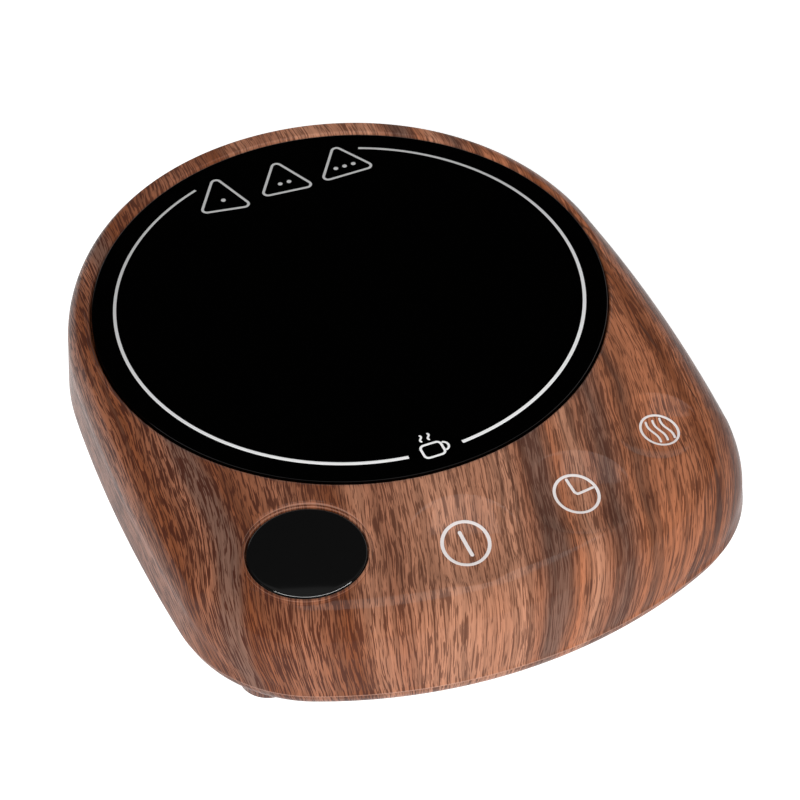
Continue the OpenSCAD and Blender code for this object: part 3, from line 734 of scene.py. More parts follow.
# %% [markdown]
# ## The grain of the print
# Printed rosewood has four layers. Broad bands change across the grain, from dark red-brown
# at the left through tan to grey-brown and orange at the right. Softer streaks and fine
# fibres lighten and darken them. Growth lines are long thin dark strokes. The pores lie on
# top, short dark dashes along the grain, thick in some bands and rare in others. All but
# the bands are noises that are stretched along the grain. A Wave texture gives rings that
# are too even for a printed board, while noises at several lengths stay irregular. Over the
# tight edges of the lens ring and along the lip, a pale painted highlight is mixed in.
# %% The wood's colours and bands
RED = linear(124, 70, 43)
GREY = linear(120, 87, 73)
TAN = linear(174, 119, 92)
SAND = linear(182, 128, 101)
BROWN = linear(154, 100, 75)
ORANGE = linear(174, 109, 77)
UMBER = linear(120, 79, 60)
BAND_SPAN = 150 * MM
BANDS = [(-75, RED), (-62, BROWN), (-56, RED), (-50, BROWN), (-48, GREY), (-45, GREY), (-43, RED),
         (-32, BROWN), (-24, RED), (-19, TAN), (-14, BROWN), (-9, TAN), (-3, SAND), (4, TAN), (9, SAND),
         (12.5, BROWN), (14.5, GREY), (17.5, GREY), (20, ORANGE), (24, SAND), (27, BROWN), (30.5, GREY),
         (33.5, BROWN), (35, ORANGE), (37, UMBER), (39, ORANGE), (46, ORANGE), (49, RED), (51, ORANGE),
         (54, RED), (75, RED)]
PORE_BANDS = [(-75, 0.9), (-50, 1.0), (-46, 0.8), (-40, 1.0), (-22, 1.0), (-17, 0.6), (-12, 1.0), (-6, 0.6),
              (3, 0.6), (8, 0.75), (14, 1.0), (19, 0.75), (24, 0.35), (28, 0.9), (33, 1.0), (37, 0.8),
              (42, 0.35), (47, 0.8), (52, 0.9), (75, 1.0)]
LINE_BANDS = [(-75, 0.3), (-58, 0.8), (-50, 0.5), (-40, 0.3), (2, 0.3), (12, 0.75), (20, 0.55), (27, 0.75),
              (42, 0.5), (48, 1.0), (75, 0.6)]
PORE = linear(72, 36, 25)
LINE = linear(76, 50, 40)
# a pale painted highlight on tight edges: its colour, the length its ramps run over, and its strength in
# millimetres past the lens edge and past the lip
EDGE_HIGHLIGHT = linear(206, 160, 140)
HIGHLIGHT_SPAN = 20 * MM
RING_HIGHLIGHT = [(0.1, 0.0), (0.2, 0.3), (0.3, 0.3), (0.36, 0.0), (0.8, 0.0), (0.87, 0.42), (0.93, 0.42),
             (1.0, 0.0)]
LIP_HIGHLIGHT = [(0.0, 0.0), (0.05, 0.5), (0.2, 0.5), (0.35, 0.0)]
print(len(BANDS), "bands over", round(BAND_SPAN / MM), "mm")

# %% The lean of the grain
# the most, how much less at the left and at the right, and the value at the front
BAND_LEAN = 0.268, 0.2, 0.23, 0.33
FINE_LEAN = 0.28, 0.16, 0.08, 0.33
LENS_Y = -54 * MM
print("the bands lean at most", round(math.degrees(math.atan(BAND_LEAN[3])), 1), "degrees")


def leaned(tree, x, y, most, less_left, less_right, front):
    """Across the grain: the place sideways, less a lean times the way backwards. The lean is
    less at both sides, but before the lens it has the front value. The way backwards is
    held back far from the panel by a hyperbolic tangent, and half of the way plus or minus
    its size is the part behind or before the lens."""
    left = between(tree, x, -12 * MM, -42 * MM, 0.0, less_left, "SMOOTHSTEP")
    right = between(tree, x, 28 * MM, 53 * MM, 0.0, less_right, "SMOOTHSTEP")
    lean = minus(tree, most, plus(tree, left, right))
    lean_front = minus(tree, front, right)
    reach, soft = 60 * MM, 6 * MM
    way = times(tree, math_node(tree, "TANH", times(tree, plus(tree, y, -LENS_Y), 1 / reach)), reach)
    size = math_node(tree, "SQRT", plus(tree, times(tree, way, way), soft * soft))
    behind = times(tree, plus(tree, way, size), 0.5)
    before = times(tree, minus(tree, way, size), 0.5)
    return minus(tree, x, plus(tree, times(tree, lean, behind), times(tree, lean_front, before)))


# %% Noise along the grain
def stretched(tree, place, across, along, detail=3.0, rough=0.5, shift=0.0):
    """Noise on a flat place, with one size in metres across the grain and one along."""
    mapped = add(tree, "ShaderNodeMapping", {"Vector": place, "Scale": (1 / across, 1 / along, 1.0),
                                             "Location": (shift, shift * 0.7, shift)})
    return add(tree, "ShaderNodeTexNoise", {"Vector": mapped.outputs[0], "Scale": 1.0, "Detail": detail,
                                            "Roughness": rough}, noise_dimensions="2D").outputs[0]


def swung(tree, place, across, along, shift, size):
    """A stretched noise that swings about zero by the given size."""
    return times(tree, minus(tree, stretched(tree, place, across, along, 2.0, 0.5, shift), 0.5), size)


def greys(tree, factor, *stops):
    """A ramp of plain values."""
    return ramp(tree, factor, [(place, grey(v)) for place, v in stops])


def band_stops(bands):
    """Ramp stops from places in millimetres on a span that is centred on the glass."""
    return [(0.5 + place * MM / BAND_SPAN, c if isinstance(c, tuple) else grey(c)) for place, c in bands]


# %% The layers of the print
def grain_places(tree, place):
    """The place sideways, the place across the bands from 0 to 1, and two flat places on
    which the grain is straight: the bands wander slowly, the fine grain sways a little."""
    parts = add(tree, "ShaderNodeSeparateXYZ", {0: place})
    x, y = parts.outputs[0], parts.outputs[1]
    wander = swung(tree, place, 26 * MM, 60 * MM, 3.0, 7 * MM)
    wave = swung(tree, place, 4 * MM, 13 * MM, 11.0, 0.8 * MM)
    across = plus(tree, plus(tree, leaned(tree, x, y, *BAND_LEAN), wander), wave)
    sway = swung(tree, place, 18 * MM, 30 * MM, 7.0, 3 * MM)
    fine = plus(tree, leaned(tree, x, y, *FINE_LEAN), sway)
    bands, grain = (add(tree, "ShaderNodeCombineXYZ", {"X": s, "Y": y}).outputs[0] for s in (across, fine))
    return x, plus(tree, times(tree, across, 1 / BAND_SPAN), 0.5), bands, grain


# %% Colour, growth lines and pores
def wood_colour(tree, band, grain):
    """The bands' colours, multiplied by soft streaks and by fine fibres."""
    streak = stretched(tree, grain, 1.7 * MM, 34 * MM, 3.0, 0.55, 5.0)
    fibre = stretched(tree, grain, 0.45 * MM, 11 * MM, 2.0, 0.6, 17.0)
    base = ramp(tree, band, band_stops(BANDS))
    base = mix(tree, 1.0, base, greys(tree, streak, (0.34, 0.8), (0.5, 1.0), (0.66, 1.1)), "MULTIPLY")
    return mix(tree, 1.0, base, greys(tree, fibre, (0.3, 0.82), (0.5, 1.0), (0.7, 1.14)), "MULTIPLY")


def growth_lines(tree, band, bands):
    """The peaks of a long noise, as strong as their band says."""
    line = stretched(tree, bands, 1.05 * MM, 40 * MM, 2.0, 0.6, 41.0)
    line = greys(tree, line, (0.57, 0.0), (0.63, 0.75), (0.72, 0.85))
    return times(tree, line, ramp(tree, band, band_stops(LINE_BANDS)))


def pores(tree, band, bands, grain):
    """The peaks of a wide and a thin short noise. The band's density, less in some patches,
    lifts both noises, so that more of them shows."""
    density = ramp(tree, band, band_stops(PORE_BANDS))
    patch = greys(tree, stretched(tree, bands, 7 * MM, 34 * MM, 2.0, 0.5, 29.0), (0.36, 0.5), (0.55, 1.0))
    more = times(tree, minus(tree, times(tree, density, patch), 0.72), 0.13)
    wide = plus(tree, stretched(tree, grain, 0.4 * MM, 7 * MM, 1.0, 0.5, 23.0), more)
    thin = plus(tree, stretched(tree, grain, 0.27 * MM, 3.6 * MM, 1.0, 0.5, 37.0), more)
    return math_node(tree, "MAXIMUM", greys(tree, wide, (0.56, 0.0), (0.6, 1.0)),
                     greys(tree, thin, (0.58, 0.0), (0.63, 0.9)))


# %% The painted highlights
def highlight_ramp(tree, length, start, stops):
    """A ramp over a length, with its stops in millimetres past the start."""
    stops = [((start + past * MM) / HIGHLIGHT_SPAN, v) for past, v in stops]
    return greys(tree, times(tree, length, 1 / HIGHLIGHT_SPAN), *stops)


def painted_highlights(tree, place):
    """Where the pale painted highlights lie: along both edges of the lens ring, by the distance
    from the lens, and along the lip, by the height."""
    away = add(tree, "ShaderNodeVectorMath", {0: place, 1: (*LENS, 0)}, operation="DISTANCE")
    ring = highlight_ramp(tree, away.outputs["Value"], LENS_R, RING_HIGHLIGHT)
    spot = add(tree, "ShaderNodeTexCoord").outputs["Object"]
    z = add(tree, "ShaderNodeSeparateXYZ", {0: spot}).outputs[2]
    on_panel = math_node(tree, "GREATER_THAN", z, RING_TOP - 0.2 * MM)
    lip = highlight_ramp(tree, z, LIP_Z, LIP_HIGHLIGHT)
    return math_node(tree, "MAXIMUM", times(tree, ring, on_panel), lip)


# %% The wood print
def wood_print(name):
    """Reddish rosewood under a semi-gloss clear coat. The pores are darkest at the left, and
    a little rougher and lower than the rest."""
    made, tree, surface = shader(name)
    place = add(tree, "ShaderNodeUVMap", uv_map=PRINT).outputs[0]
    x, band, bands, grain = grain_places(tree, place)
    pore = pores(tree, band, bands, grain)
    dark = between(tree, x, -44 * MM, -8 * MM, 0.95, 0.68)
    colour = mix(tree, growth_lines(tree, band, bands), wood_colour(tree, band, grain), LINE)
    colour = mix(tree, times(tree, pore, dark), colour, PORE)
    # painted highlight: pale lines on the lens ring's edges and along the lip
    colour = mix(tree, painted_highlights(tree, place), colour, EDGE_HIGHLIGHT)
    tree.links.new(colour, surface.inputs["Base Color"])
    tree.links.new(plus(tree, times(tree, pore, 0.12), 0.38), surface.inputs["Roughness"])
    bump = add(tree, "ShaderNodeBump", {"Height": minus(tree, 1.0, pore), "Strength": 0.12,
                                        "Distance": 0.04 * MM})
    tree.links.new(bump.outputs[0], surface.inputs["Normal"])
    surface.inputs["Specular IOR Level"].default_value = 0.06
    surface.inputs["Coat Weight"].default_value = 0.22
    surface.inputs["Coat Roughness"].default_value = 0.09
    return made


WOOD = wood_print("wood_print")
housing.data.materials.clear()
housing.data.materials.append(WOOD)
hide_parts("upper_housing")
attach(housing, BODY)
print("wood print:", len(WOOD.node_tree.nodes), "nodes")

# %% [markdown]
# ## The lower cover
# The cover is a shallow tray under the housing. Its edge steps in below the lip and rolls
# under to the flat bottom. It could be a turned bowl pressed into shape, but its edge has to
# follow the housing's at an even distance, so it is the same outline, moved in row by row.
# %% The cover's tray
FOOT_H = 2.9 * MM
FLOOR_Z = FOOT_H + 2 * MM
COVER_MID = np.array([0, -16 * MM])


def cover_tray():
    """Rows of the outline from inside the rim, down and under, as bands that are closed by
    fans to a middle point above and below the floor."""
    edge = [(1.6, 7.2), (1.6, 6.95), (0.72, 6.85), (0.62, 6.7), (0.7, 6.1), (0.9, 5.4), (1.2, 4.8),
            (1.6, 4.2), (2.1, 3.7), (2.7, 3.3), (3.3, 3.02), (3.9, FOOT_H / MM)]
    rows = [at_inset(3.4 * MM, FLOOR_Z), at_inset(3.4 * MM, LIP_Z)]
    rows += [at_inset(i * MM, min(z * MM, LIP_Z)) for i, z in edge]
    run, flats, last = WALL_RUN.copy(), [], at_inset(0, LIP_Z)
    for p in rows[2:]:
        run = run + np.linalg.norm(p - last, axis=-1)
        flats.append(ROLL_START + OUT * run[:, None])
        last = p
    rows, flats = np.stack(rows), np.stack([flats[0]] * 2 + flats)
    count, cols = rows.shape[:2]
    points = np.concatenate([rows.reshape(-1, 3), [[*COVER_MID, FLOOR_Z], [*COVER_MID, FOOT_H]]])
    places = np.concatenate([flats.reshape(-1, 2), [COVER_MID, COVER_MID]])
    k = np.arange(cols)
    k2 = (k + 1) % cols
    low = (count - 1) * cols
    faces = grid_faces(count, cols, False, True).tolist()
    faces += np.stack([k2, k, np.full(cols, len(points) - 2)], -1).tolist()
    faces += np.stack([low + k, low + k2, np.full(cols, len(points) - 1)], -1).tolist()
    return mesh_object("cover_tray", points, faces, places)


# %% [markdown]
# ## Foot bosses and vents
# Four short bosses under the tray carry the rubber feet, and slots in the middle let air in
# under the hot plate. They could be rows of the same grid, but a boss that is joined on and
# a pocket or slot that is cut out each stay one small function.
# %% The bosses, their pockets and the slots
FOOT_NORMALS = np.radians([-40, 220, 45, 135])
FOOT_INSET = 8.6 * MM
FEET = outline(FOOT_NORMALS, FOOT_INSET)
FOOT_R = 5.0 * MM
STAND = 0.9 * MM
SLOTS, SLOT_PITCH = 6, 6 * MM
print("feet at", (FEET / MM).round(1).tolist(), "mm from the glass axis")


def boss_solid(foot):
    """A short boss that stands below the floor, with an eased lower edge."""
    low, high = 5.7 * MM, 6.2 * MM
    profile = [(high, 4.6 * MM), (low + 0.1 * MM, STAND + 0.25 * MM), (low - 0.05 * MM, STAND + 0.07 * MM),
               (low - 0.25 * MM, STAND)]
    return turned("foot_boss", profile, (*foot, 0), 96)


def pocket_cutter(foot):
    """The pocket that holds the rubber foot, and the smaller one above it for the screw."""
    pocket, head = FOOT_R + 0.1 * MM, 2.8 * MM
    profile = [(pocket, 0), (pocket, 2 * MM), (head, 2 * MM), (head, 3.8 * MM), (1.45 * MM, 3.8 * MM),
               (1.45 * MM, 8 * MM)]
    return turned("foot_pocket", profile, (*foot, 0), 96)


def slot_cutter(x):
    """A stadium through the floor, eased at its lower edge: half circles joined by straights."""
    half_w, half_l, mid_y = 1.1 * MM, 9.9 * MM, 7 * MM
    t = np.linspace(0, 2 * np.pi, 48, endpoint=False)
    unit = np.stack([np.cos(t), np.sin(t)], -1)
    ends = np.stack([0 * t + x, mid_y + half_l * np.sign(np.sin(t + 1e-9))], -1)
    rings = []
    for grow, z in ((0.35, FOOT_H - 1 * MM), (0.35, FOOT_H - 0.001 * MM), (0.1, FOOT_H + 0.1 * MM),
                    (0.0, FOOT_H + 0.35 * MM), (0.0, FLOOR_Z + 1 * MM)):
        flat = unit * (half_w + grow * MM) + ends
        rings.append(np.concatenate([flat, np.full((len(t), 1), z)], -1))
    return stacked("slot_cutter", np.stack(rings))


# %% The cover in one piece
cover = cover_tray()
carve(cover, "UNION", *[boss_solid(foot) for foot in FEET])
carve(cover, "DIFFERENCE", *[pocket_cutter(foot) for foot in FEET],
      *[slot_cutter((i - (SLOTS - 1) / 2) * SLOT_PITCH) for i in range(SLOTS)])
cover.data.materials.clear()
cover.data.materials.append(WOOD)
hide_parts("lower_cover")
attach(cover, BODY)
print("cover:", len(cover.data.polygons), "faces")

# %% [markdown]
# ## The hot plate and the lens
# Both are turned shapes with a softly rounded edge, which is what catches the thin line of
# light round a polished disc. A cylinder with a bevel comes close for the flat glass. The
# lens is a very low dome, so both are a profile of radius and height, carried round. Black
# polish has almost no colour of its own: its look is the low roughness.
# %% The glass
PRINT_T = 0.04 * MM
GLASS = finish("black_glass", (1.5, 1.5, 1.5), 0.06, scale=300, amount=0.1, bump=0.0)
profile = [(GLASS_R - 0.2 * MM, GLASS_Z), (GLASS_R, GLASS_Z + 0.2 * MM)]
profile += quarter(GLASS_R, TOP - PRINT_T, 0.22 * MM, 8)
glass = turned("hot_plate_glass", profile, (0, 0, 0), 256)
glass.data.materials.append(GLASS)
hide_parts("glass_plate")
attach(glass, BODY)
print("glass:", len(glass.data.polygons), "faces")

# %% The lens
LENS_BLACK = finish("black_lens", (7, 7, 7), 0.05, scale=300, amount=0.1, bump=0.0)
DOME, BEVEL = 0.3 * MM, 0.5 * MM
profile = [(LENS_R, -LENS_T)] + quarter(LENS_R, -DOME, BEVEL, 8)
profile += [((LENS_R - BEVEL) * part, -DOME * part * part) for part in np.linspace(1, 0.02, 18)[1:]]
lens = turned("lens_dome", profile, (*LENS, LENS_TOP), 256)
lens.data.materials.append(LENS_BLACK)
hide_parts("display_lens")
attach(lens, BODY)
print("lens:", len(lens.data.polygons), "faces")

# %% [markdown]
# ## The printed marks
# The marks are screen printed, so they are thin bands of paint with a real thickness of a
# few hundredths of a millimetre. They could be a mask in the material, but a band of paint
# keeps a sharp edge at any distance. Each one is a path with a width, laid on the surface
# under it: a ring, a bar, a clock's hands, heat waves, triangles. Printed strokes end round.
# %% A painted stroke
def resample(path, step):
    """The same path with points at even steps, by its length."""
    path = np.asarray(path, float)
    run = np.concatenate([[0], np.cumsum(np.linalg.norm(np.diff(path, axis=0), axis=-1))])
    at = np.linspace(0, run[-1], max(8, int(run[-1] / step)))
    return np.stack([np.interp(at, run, path[:, 0]), np.interp(at, run, path[:, 1])], -1), at


def stroke(path, width, surface, thick, closed=False, rounded=True, step=0.12):
    """A band of paint along a path in millimetres: a flat section with eased edges, carried
    along it. At a round end the half width is that of a circle. Gives points and faces."""
    path, at = resample(path, step)
    if closed:
        path = path[:-1]
        along = np.roll(path, -1, 0) - np.roll(path, 1, 0)
    else:
        along = np.gradient(path, axis=0)
    along = along / np.linalg.norm(along, axis=-1, keepdims=True)
    side = np.stack([-along[:, 1], along[:, 0]], -1)
    half = (width(path) if callable(width) else np.full(len(path), width)) / 2
    if rounded and not closed:
        near = 1 - np.clip(np.minimum(at, at[-1] - at) / half, 0.03, 1)
        half = half * np.sqrt(1 - near ** 2)
    across = np.array([-1, -1, -0.85, 0.85, 1, 1])
    lift = np.array([-1.0, 0.6, 1.0, 1.0, 0.6, -1.0]) * thick
    flat = (path[:, None] + side[:, None] * (half[:, None] * across)[..., None]) * MM
    z = surface(flat) + lift
    points = np.concatenate([flat, z[..., None]], -1)
    faces = grid_faces(len(path), 6, closed, True).tolist()
    if not closed:
        last = (len(path) - 1) * 6
        faces += [[5, 4, 3, 2, 1, 0], [last + k for k in range(6)]]
    return points.reshape(-1, 3), faces


# %% Paint in one piece
PAINT_SHARP = 60


def painted(name, strokes, material):
    """All strokes of one print as a single mesh."""
    points, faces, first = [], [], 0
    for p, f in strokes:
        points.append(p)
        faces += [[first + k for k in face] for face in f]
        first += len(p)
    made = mesh_object(name, np.concatenate(points), faces, sharp=PAINT_SHARP)
    made.data.materials.append(material)
    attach(made, BODY)
    print(name, len(faces), "faces")


# %% Arcs and ellipses
def arc(radius, start, end, centre=(0, 0), count=400):
    """A circle's arc between two angles in degrees."""
    t = np.radians(np.linspace(start, end, count))
    return np.stack([centre[0] + radius * np.cos(t), centre[1] + radius * np.sin(t)], -1)


def ellipse(centre, short, long, heading):
    """A closed ellipse whose long axis points to the heading."""
    t = np.linspace(0, 2 * np.pi, 241)
    c, s = math.cos(math.radians(heading)), math.sin(math.radians(heading))
    a, b = long * np.cos(t), short * np.sin(t)
    return np.stack([centre[0] + a * c - b * s, centre[1] + a * s + b * c], -1)


# %% Paint
INK_SHADE_SPAN = 110 * MM


def paint(name, front, back):
    """White ink with a faint mottle, and painted shade that makes it a little greyer towards the back."""
    made, tree, surface = shader(name)
    place = add(tree, "ShaderNodeTexCoord").outputs["Object"]
    y = add(tree, "ShaderNodeSeparateXYZ", {0: place}).outputs[1]
    part = plus(tree, times(tree, y, 1 / INK_SHADE_SPAN), 0.5)
    # painted shade: the ink's colour runs from the front value to the greyer back value
    colour = ramp(tree, part, [(0.15, linear(*front)), (0.85, linear(*back))])
    mottled(tree, surface, colour, 700, 0.12, 0.05)
    surface.inputs["Roughness"].default_value = 0.45
    return made


# each ink's front and back values; the greyer back is painted shade
GLASS_PAINT = paint("glass_ink", (250, 250, 250), (190, 190, 190))
PANEL_PAINT = paint("panel_ink", (236, 228, 226), (228, 218, 214))
print("paints:", GLASS_PAINT.name, "and", PANEL_PAINT.name)

# %% Marks on the glass
def on_glass(flat):
    """The glass top is level."""
    return np.full(flat.shape[:-1], TOP - PRINT_T)


def rounded_loop(corners, radius):
    """A closed path round corners: the straight sides joined by arcs inside each corner."""
    corners = np.array(corners, float)
    path = []
    for before, at, after in zip(np.roll(corners, 1, 0), corners, np.roll(corners, -1, 0)):
        u, v = (before - at) / np.linalg.norm(before - at), (after - at) / np.linalg.norm(after - at)
        half = math.acos(np.clip(u @ v, -1, 1)) / 2
        middle = at + (u + v) / np.linalg.norm(u + v) * radius / math.sin(half)
        start, end = at + u * radius / math.tan(half) - middle, at + v * radius / math.tan(half) - middle
        a, b = math.atan2(start[1], start[0]), math.atan2(end[1], end[0])
        b = a + (b - a + math.pi) % (2 * math.pi) - math.pi
        t = np.linspace(a, b, 12)
        path.append(middle + radius * np.stack([np.cos(t), np.sin(t)], -1))
    path.append(path[0][:1])
    return np.concatenate(path)


# %% The ring, the triangles and the cup
RING_MARK_R = 47.5
THIN = PRINT_T * 0.95


def ring_width(path):
    """In millimetres, a little narrower at the back than at the front."""
    return 0.66 - 0.1 * path[:, 1] / RING_MARK_R


strokes = [stroke(arc(RING_MARK_R, start, end), ring_width, on_glass, THIN, rounded=False, step=0.4)
           for start, end in ((-84.9, 65.8), (111.4, 261.8))]
TRIANGLES = [((-12.3, 47.0), (-18.8, 36.6), (-8.0, 34.6)), ((1.3, 46.7), (-5.2, 36.5), (6.4, 35.4)),
             ((14.9, 46.3), (8.2, 36.0), (20.5, 36.2))]
for count, corners in enumerate(TRIANGLES, 1):
    strokes.append(stroke(rounded_loop(corners, 1.0), 0.55, on_glass, THIN, closed=True, step=0.15))
    middle = np.mean(corners, axis=0) - [0, 0.6]
    for k in range(count):
        x = middle[0] + (k - (count - 1) / 2) * 2.0
        strokes.append(stroke([(x - 0.5, middle[1]), (x + 0.5, middle[1])], 1.0, on_glass, THIN, step=0.05))
# a plain cup: the bowl, its handle and two wisps of steam
cup = np.array([-1.6, -45.9])
bowl = cup + [(-2.3, 0.6), (1.9, 0.6), (1.9, -2.9), (-2.3, -2.9)]
strokes.append(stroke(rounded_loop(bowl, 0.9), 0.5, on_glass, THIN, closed=True))
strokes.append(stroke(arc(1.15, -80, 80, cup + [1.95, -1.0], 40), 0.45, on_glass, THIN))
for x in (-1.2, 0.4):
    t = np.linspace(-1, 1, 30)
    steam = cup + np.stack([x + 0.28 * np.sin(t * np.pi), 2.5 + 0.95 * t], -1)
    strokes.append(stroke(steam, 0.42, on_glass, THIN))
painted("glass_marks", strokes, GLASS_PAINT)

# %% Marks at the keys
KEY_T = 0.03 * MM
POWER, CLOCK, HEAT = np.array([[-5.06, -70.15], [19.1, -66.98], [41.02, -57.97]])
strokes = [stroke(ellipse(POWER, 4.4, 5.2, 73), 0.68, height, KEY_T, closed=True),
           stroke(POWER + [(0, 3.3), (0, -3.3)], 0.72, height, KEY_T),
           stroke(ellipse(CLOCK, 4.1, 4.7, 92), 0.6, height, KEY_T, closed=True),
           stroke(CLOCK + [(-0.31, 4.23), (-0.13, 0.63), (0.29, 0.05), (3.79, 0.43)], 0.56, height, KEY_T),
           stroke(ellipse(HEAT, 3.4, 4.1, 101), 0.5, height, KEY_T, closed=True)]
for x in (-1.33, 0.12, 1.62):
    t = np.linspace(-1, 1, 60)
    wave = HEAT + np.stack([x - 0.2 * t - 0.3 * np.sin(t * np.pi), 3.05 * t], -1)
    strokes.append(stroke(wave, 0.46, height, KEY_T))
painted("key_marks", strokes, PANEL_PAINT)

# %% [markdown]
# ## The pieces that keep their CAD shape
# The inside pieces, the gland and the rubber feet are right as they are, so each only gets
# a finish that suits its material slot: metal, ceramic, circuit board, moulded plastic. One
# table of finishes, read by slot, keeps pieces of the same stuff alike.
# %% Finishes for the CAD pieces
FINISHES = {
    "silicone": finish("silicone", (46, 46, 46), 0.7, bump=0.3),
    "aluminium_sheet": finish("aluminium_sheet", (214, 216, 218), 0.32, 1.0, scale=500, amount=0.12),
    "mica": finish("mica", (190, 174, 140), 0.55, scale=420, amount=0.4, bump=0.3),
    "ceramic_fibre": finish("ceramic_fibre", (226, 222, 212), 0.95, scale=1600, amount=0.35, bump=0.9),
    "zinc_steel": finish("zinc_steel", (196, 198, 200), 0.36, 1.0, scale=260, amount=0.3),
    "screw_steel": finish("screw_steel", (200, 200, 203), 0.28, 1.0, scale=700, amount=0.15),
    "ceramic": finish("ceramic", (228, 222, 208), 0.3, scale=500, amount=0.1),
    "lead_sleeve": finish("lead_sleeve", (226, 224, 218), 0.85, scale=2600, amount=0.35, bump=0.8),
    "circuit_board": finish("circuit_board", (38, 104, 62), 0.38, scale=340, amount=0.3),
    "green_plastic": finish("green_plastic", (60, 136, 84), 0.45),
    "brass_clip": finish("brass_clip", (214, 180, 112), 0.3, 1.0, scale=500, amount=0.15),
    "yellow_plastic": finish("yellow_plastic", (204, 170, 72), 0.4),
    "capacitor_sleeve": finish("capacitor_sleeve", (34, 44, 96), 0.3, amount=0.15),
    "chip_black": finish("chip_black", (38, 38, 38), 0.6, scale=1800, bump=0.4),
    "display_case": finish("display_case", (224, 224, 222), 0.45),
    "spring_steel": finish("spring_steel", (204, 204, 207), 0.22, 1.0, scale=900, amount=0.12),
    "grey_cable": finish("grey_cable", (188, 188, 186), 0.5),
    "gland_plastic": finish("gland_plastic", (32, 32, 32), 0.5, scale=1500, bump=0.25),
    "black_rubber": finish("black_rubber", (28, 27, 27), 0.8, scale=2200, amount=0.35, bump=0.5),
    "wood_print": WOOD, "black_glass": GLASS, "black_lens": LENS_BLACK,
}
FINISHES["fuse_glass"] = finish("fuse_glass", (240, 243, 243), 0.05, amount=0.05, bump=0.0)
FINISHES["fuse_glass"].node_tree.nodes["Principled BSDF"].inputs["Transmission Weight"].default_value = 0.9
for piece in frame["record"]["subparts"]:
    mesh = frame["nodes"][piece["node"]].data
    mesh.materials.clear()
    mesh.materials.append(FINISHES[piece["material_slot"]])

# %% [markdown]
# ## The camera
# The camera looks down at the glass from the front left with a long lens. Its place is given
# about the middle of the glass: a direction, a distance and two shifts, and a slight roll. A
# constraint could aim it, but three axes written as a matrix hold the roll as well.
# %% Camera
azimuth, elevation, roll = math.radians(-21.5978), math.radians(44.2236), math.radians(-1.5746)
distance, side_shift, up_shift = 546.65 * MM, 9.65 * MM, -21.33 * MM
back = np.array([math.sin(azimuth) * math.cos(elevation), -math.cos(azimuth) * math.cos(elevation),
                 math.sin(elevation)])
right = np.array([math.cos(azimuth), math.sin(azimuth), 0])
up = np.cross(back, right)
eye = np.array([*AXIS, TOP]) + back * distance + right * side_shift + up * up_shift
rolled_right = math.cos(roll) * right + math.sin(roll) * up
rolled_up = math.cos(roll) * up - math.sin(roll) * right
print("camera at", eye.round(3).tolist(), "m")


def placed(axes, place):
    """A matrix from three axes and a place."""
    m = np.eye(4)
    m[:3, :3] = np.stack(axes, -1)
    m[:3, 3] = place
    return Matrix(m.tolist())


# %% The camera itself
FOCAL, SENSOR = 121.5, 36
camera_data = bpy.data.cameras.new("camera")
camera_data.lens = FOCAL
camera_data.sensor_width = SENSOR
camera_data.sensor_fit = "HORIZONTAL"
camera = bpy.data.objects.new("camera", camera_data)
bpy.context.scene.collection.objects.link(camera)
camera.matrix_world = placed([rolled_right, rolled_up, back], eye)
bpy.context.scene.camera = camera
print("field of view:", round(math.degrees(camera_data.angle), 1), "degrees")

# %% [markdown]
# ## Light, floor and surroundings
# The object stands in a white surround. A soft lamp at the front left gives the hollows
# their shade, and the world fills the rest. Three small cards are seen only as reflections:
# two in the lens and a faint one in the coat of the housing. A plain ring of lamps would be
# simpler, but polished black shows every lamp, so what each surface mirrors is chosen.
# %% Rays and sheets
def seen_directly(tree):
    """One for rays that show a thing itself: from the camera, in gloss or through glass."""
    path = add(tree, "ShaderNodeLightPath")
    seen = math_node(tree, "MAXIMUM", path.outputs["Is Camera Ray"], path.outputs["Is Glossy Ray"])
    return math_node(tree, "MAXIMUM", seen, path.outputs["Is Transmission Ray"])


def flat_sheet(name, half, z):
    """A square sheet that is not part of the object."""
    mesh = bpy.data.meshes.new(name)
    corners = [(-half, -half, z), (half, -half, z), (half, half, z), (-half, half, z)]
    mesh.from_pydata(corners, [], [(0, 1, 2, 3)])
    made = bpy.data.objects.new(name, mesh)
    bpy.context.scene.collection.objects.link(made)
    return made


# %% The surround
AMBIENT = 0.37
world = bpy.data.worlds.new("studio")
bpy.context.scene.world = world
world.use_nodes = True
tree = world.node_tree
tree.nodes.clear()
strength = plus(tree, times(tree, seen_directly(tree), 1 - AMBIENT), AMBIENT)
sky = add(tree, "ShaderNodeBackground", {"Color": (1, 1, 1, 1), "Strength": strength})
tree.links.new(sky.outputs[0], add(tree, "ShaderNodeOutputWorld").inputs[0])
print("the surround lights at", AMBIENT, "and is seen as white")

# %% The floor
FLOOR_GLOW = 0.72
floor = flat_sheet("floor", 4.0, 0)
floor_material, tree, surface = shader("floor_white")
surface.inputs["Base Color"].default_value = grey(0.8)
surface.inputs["Roughness"].default_value = 0.9
surface.inputs["Specular IOR Level"].default_value = 0.0
surface.inputs["Emission Color"].default_value = grey(1)
tree.links.new(times(tree, seen_directly(tree), FLOOR_GLOW), surface.inputs["Emission Strength"])
floor.data.materials.append(floor_material)
print("floor:", [round(c, 1) for c in floor.dimensions], "m")

# %% Lamps
def lamp(name, place, target, size, power, glossy):
    """A soft rectangular lamp at a place, turned to a target."""
    data = bpy.data.lights.new(name, "AREA")
    data.shape = "RECTANGLE"
    data.size, data.size_y = size
    data.energy = power
    made = bpy.data.objects.new(name, data)
    bpy.context.scene.collection.objects.link(made)
    z = np.array(place) - np.array(target)
    z = z / np.linalg.norm(z)
    x = np.cross([0, 0, 1], z)
    x = x / np.linalg.norm(x)
    made.matrix_world = placed([x, np.cross(z, x), z], place)
    made.visible_glossy = glossy
    return made


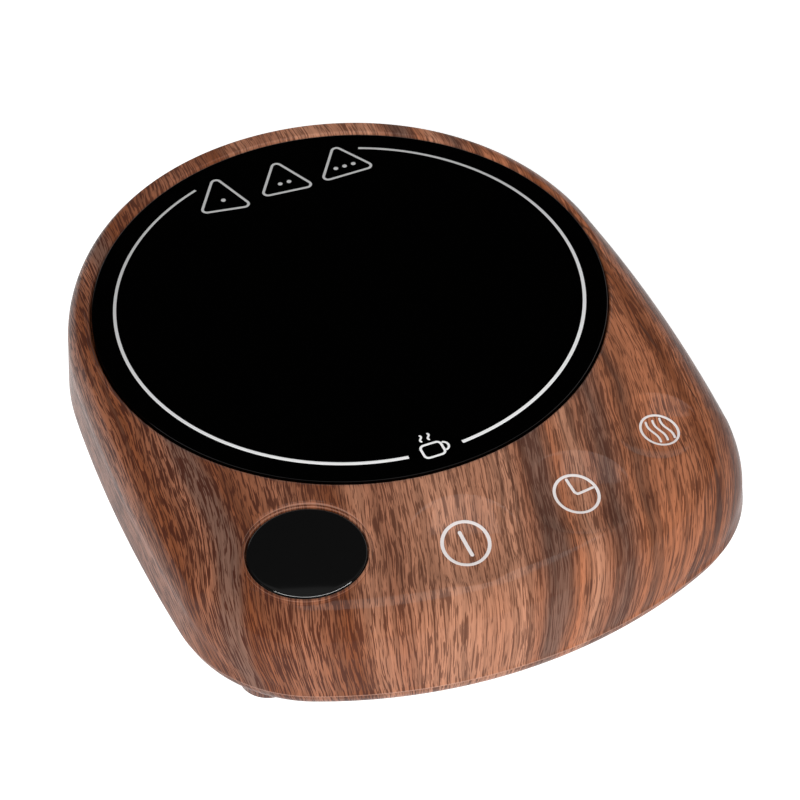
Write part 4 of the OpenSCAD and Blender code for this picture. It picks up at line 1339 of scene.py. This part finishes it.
def only_on(light, piece):
    """Links a lamp to one piece, so that it lights nothing else."""
    receivers = bpy.data.collections.new(light.name + "_receivers")
    receivers.objects.link(piece)
    light.light_linking.receiver_collection = receivers


# %% The key light, soft, at the front left
lamp("key", (-0.46, -0.99, 0.79), (0, 0, 0), (0.4, 0.4), 15.5, False)

# %% Cards for the lens and the housing
# two reflections on the lens alone: a soft card behind it, and a strip overhead that draws
# the bright line on its rounded near edge
lens_place = np.array([*(AXIS + LENS), LENS_TOP])
level_back = back * [1, 1, 0] / math.cos(elevation)
card_turn = math.radians(61.5)
card_way = np.array([0, 0, math.sin(card_turn)]) - level_back * math.cos(card_turn)
only_on(lamp("card", lens_place + card_way * 0.5, lens_place, (0.5, 0.13), 0.04, True), lens)
strip_foot = lens_place + right * 0.12
only_on(lamp("strip", strip_foot + level_back * 0.02 + [0, 0, 0.5], strip_foot, (0.8, 0.05), 5, True), lens)

# a small faint card overhead, for the coat of the housing alone: it veils the skin that leans
# to the front, which is how the far side of each hollow shows
overhead = lamp("overhead", (0.1, 0.12, 0.6), (0.04, -0.05, 0), (0.26, 0.3), 0.65, True)
overhead.visible_diffuse = False
only_on(overhead, housing)
print("lamps:", sorted(light.name for light in bpy.data.lights))

# %% [markdown]
# ## Dark screens
# Two black screens are seen only in reflections. The ceiling keeps the glass black, while
# the low white surround still shows as a sheen on the walls. The one behind at the left is
# what the left wall mirrors. Darker paint on the wall would do it too, but it would look
# wrong from the other sides.
# %% The ceiling and the screen behind
ceiling = flat_sheet("dark_ceiling", 1.3, 0.7)
screen = flat_sheet("dark_screen", 0.7, 0)
screen.matrix_world = placed([(0.707, 0.707, 0), (0, 0, 0.5), (0.707, -0.707, 0)], (-0.88, 0.88, 0.4))
black, tree, surface = shader("card_black")
surface.inputs["Base Color"].default_value = grey(0.0)
surface.inputs["Specular IOR Level"].default_value = 0.0
for card in (ceiling, screen):
    card.data.materials.append(black)
    for kind in ("camera", "diffuse", "shadow", "transmission", "volume_scatter"):
        setattr(card, "visible_" + kind, False)
bpy.context.scene.view_settings.view_transform = "Standard"
print("screens:", ceiling.name, "and", screen.name)
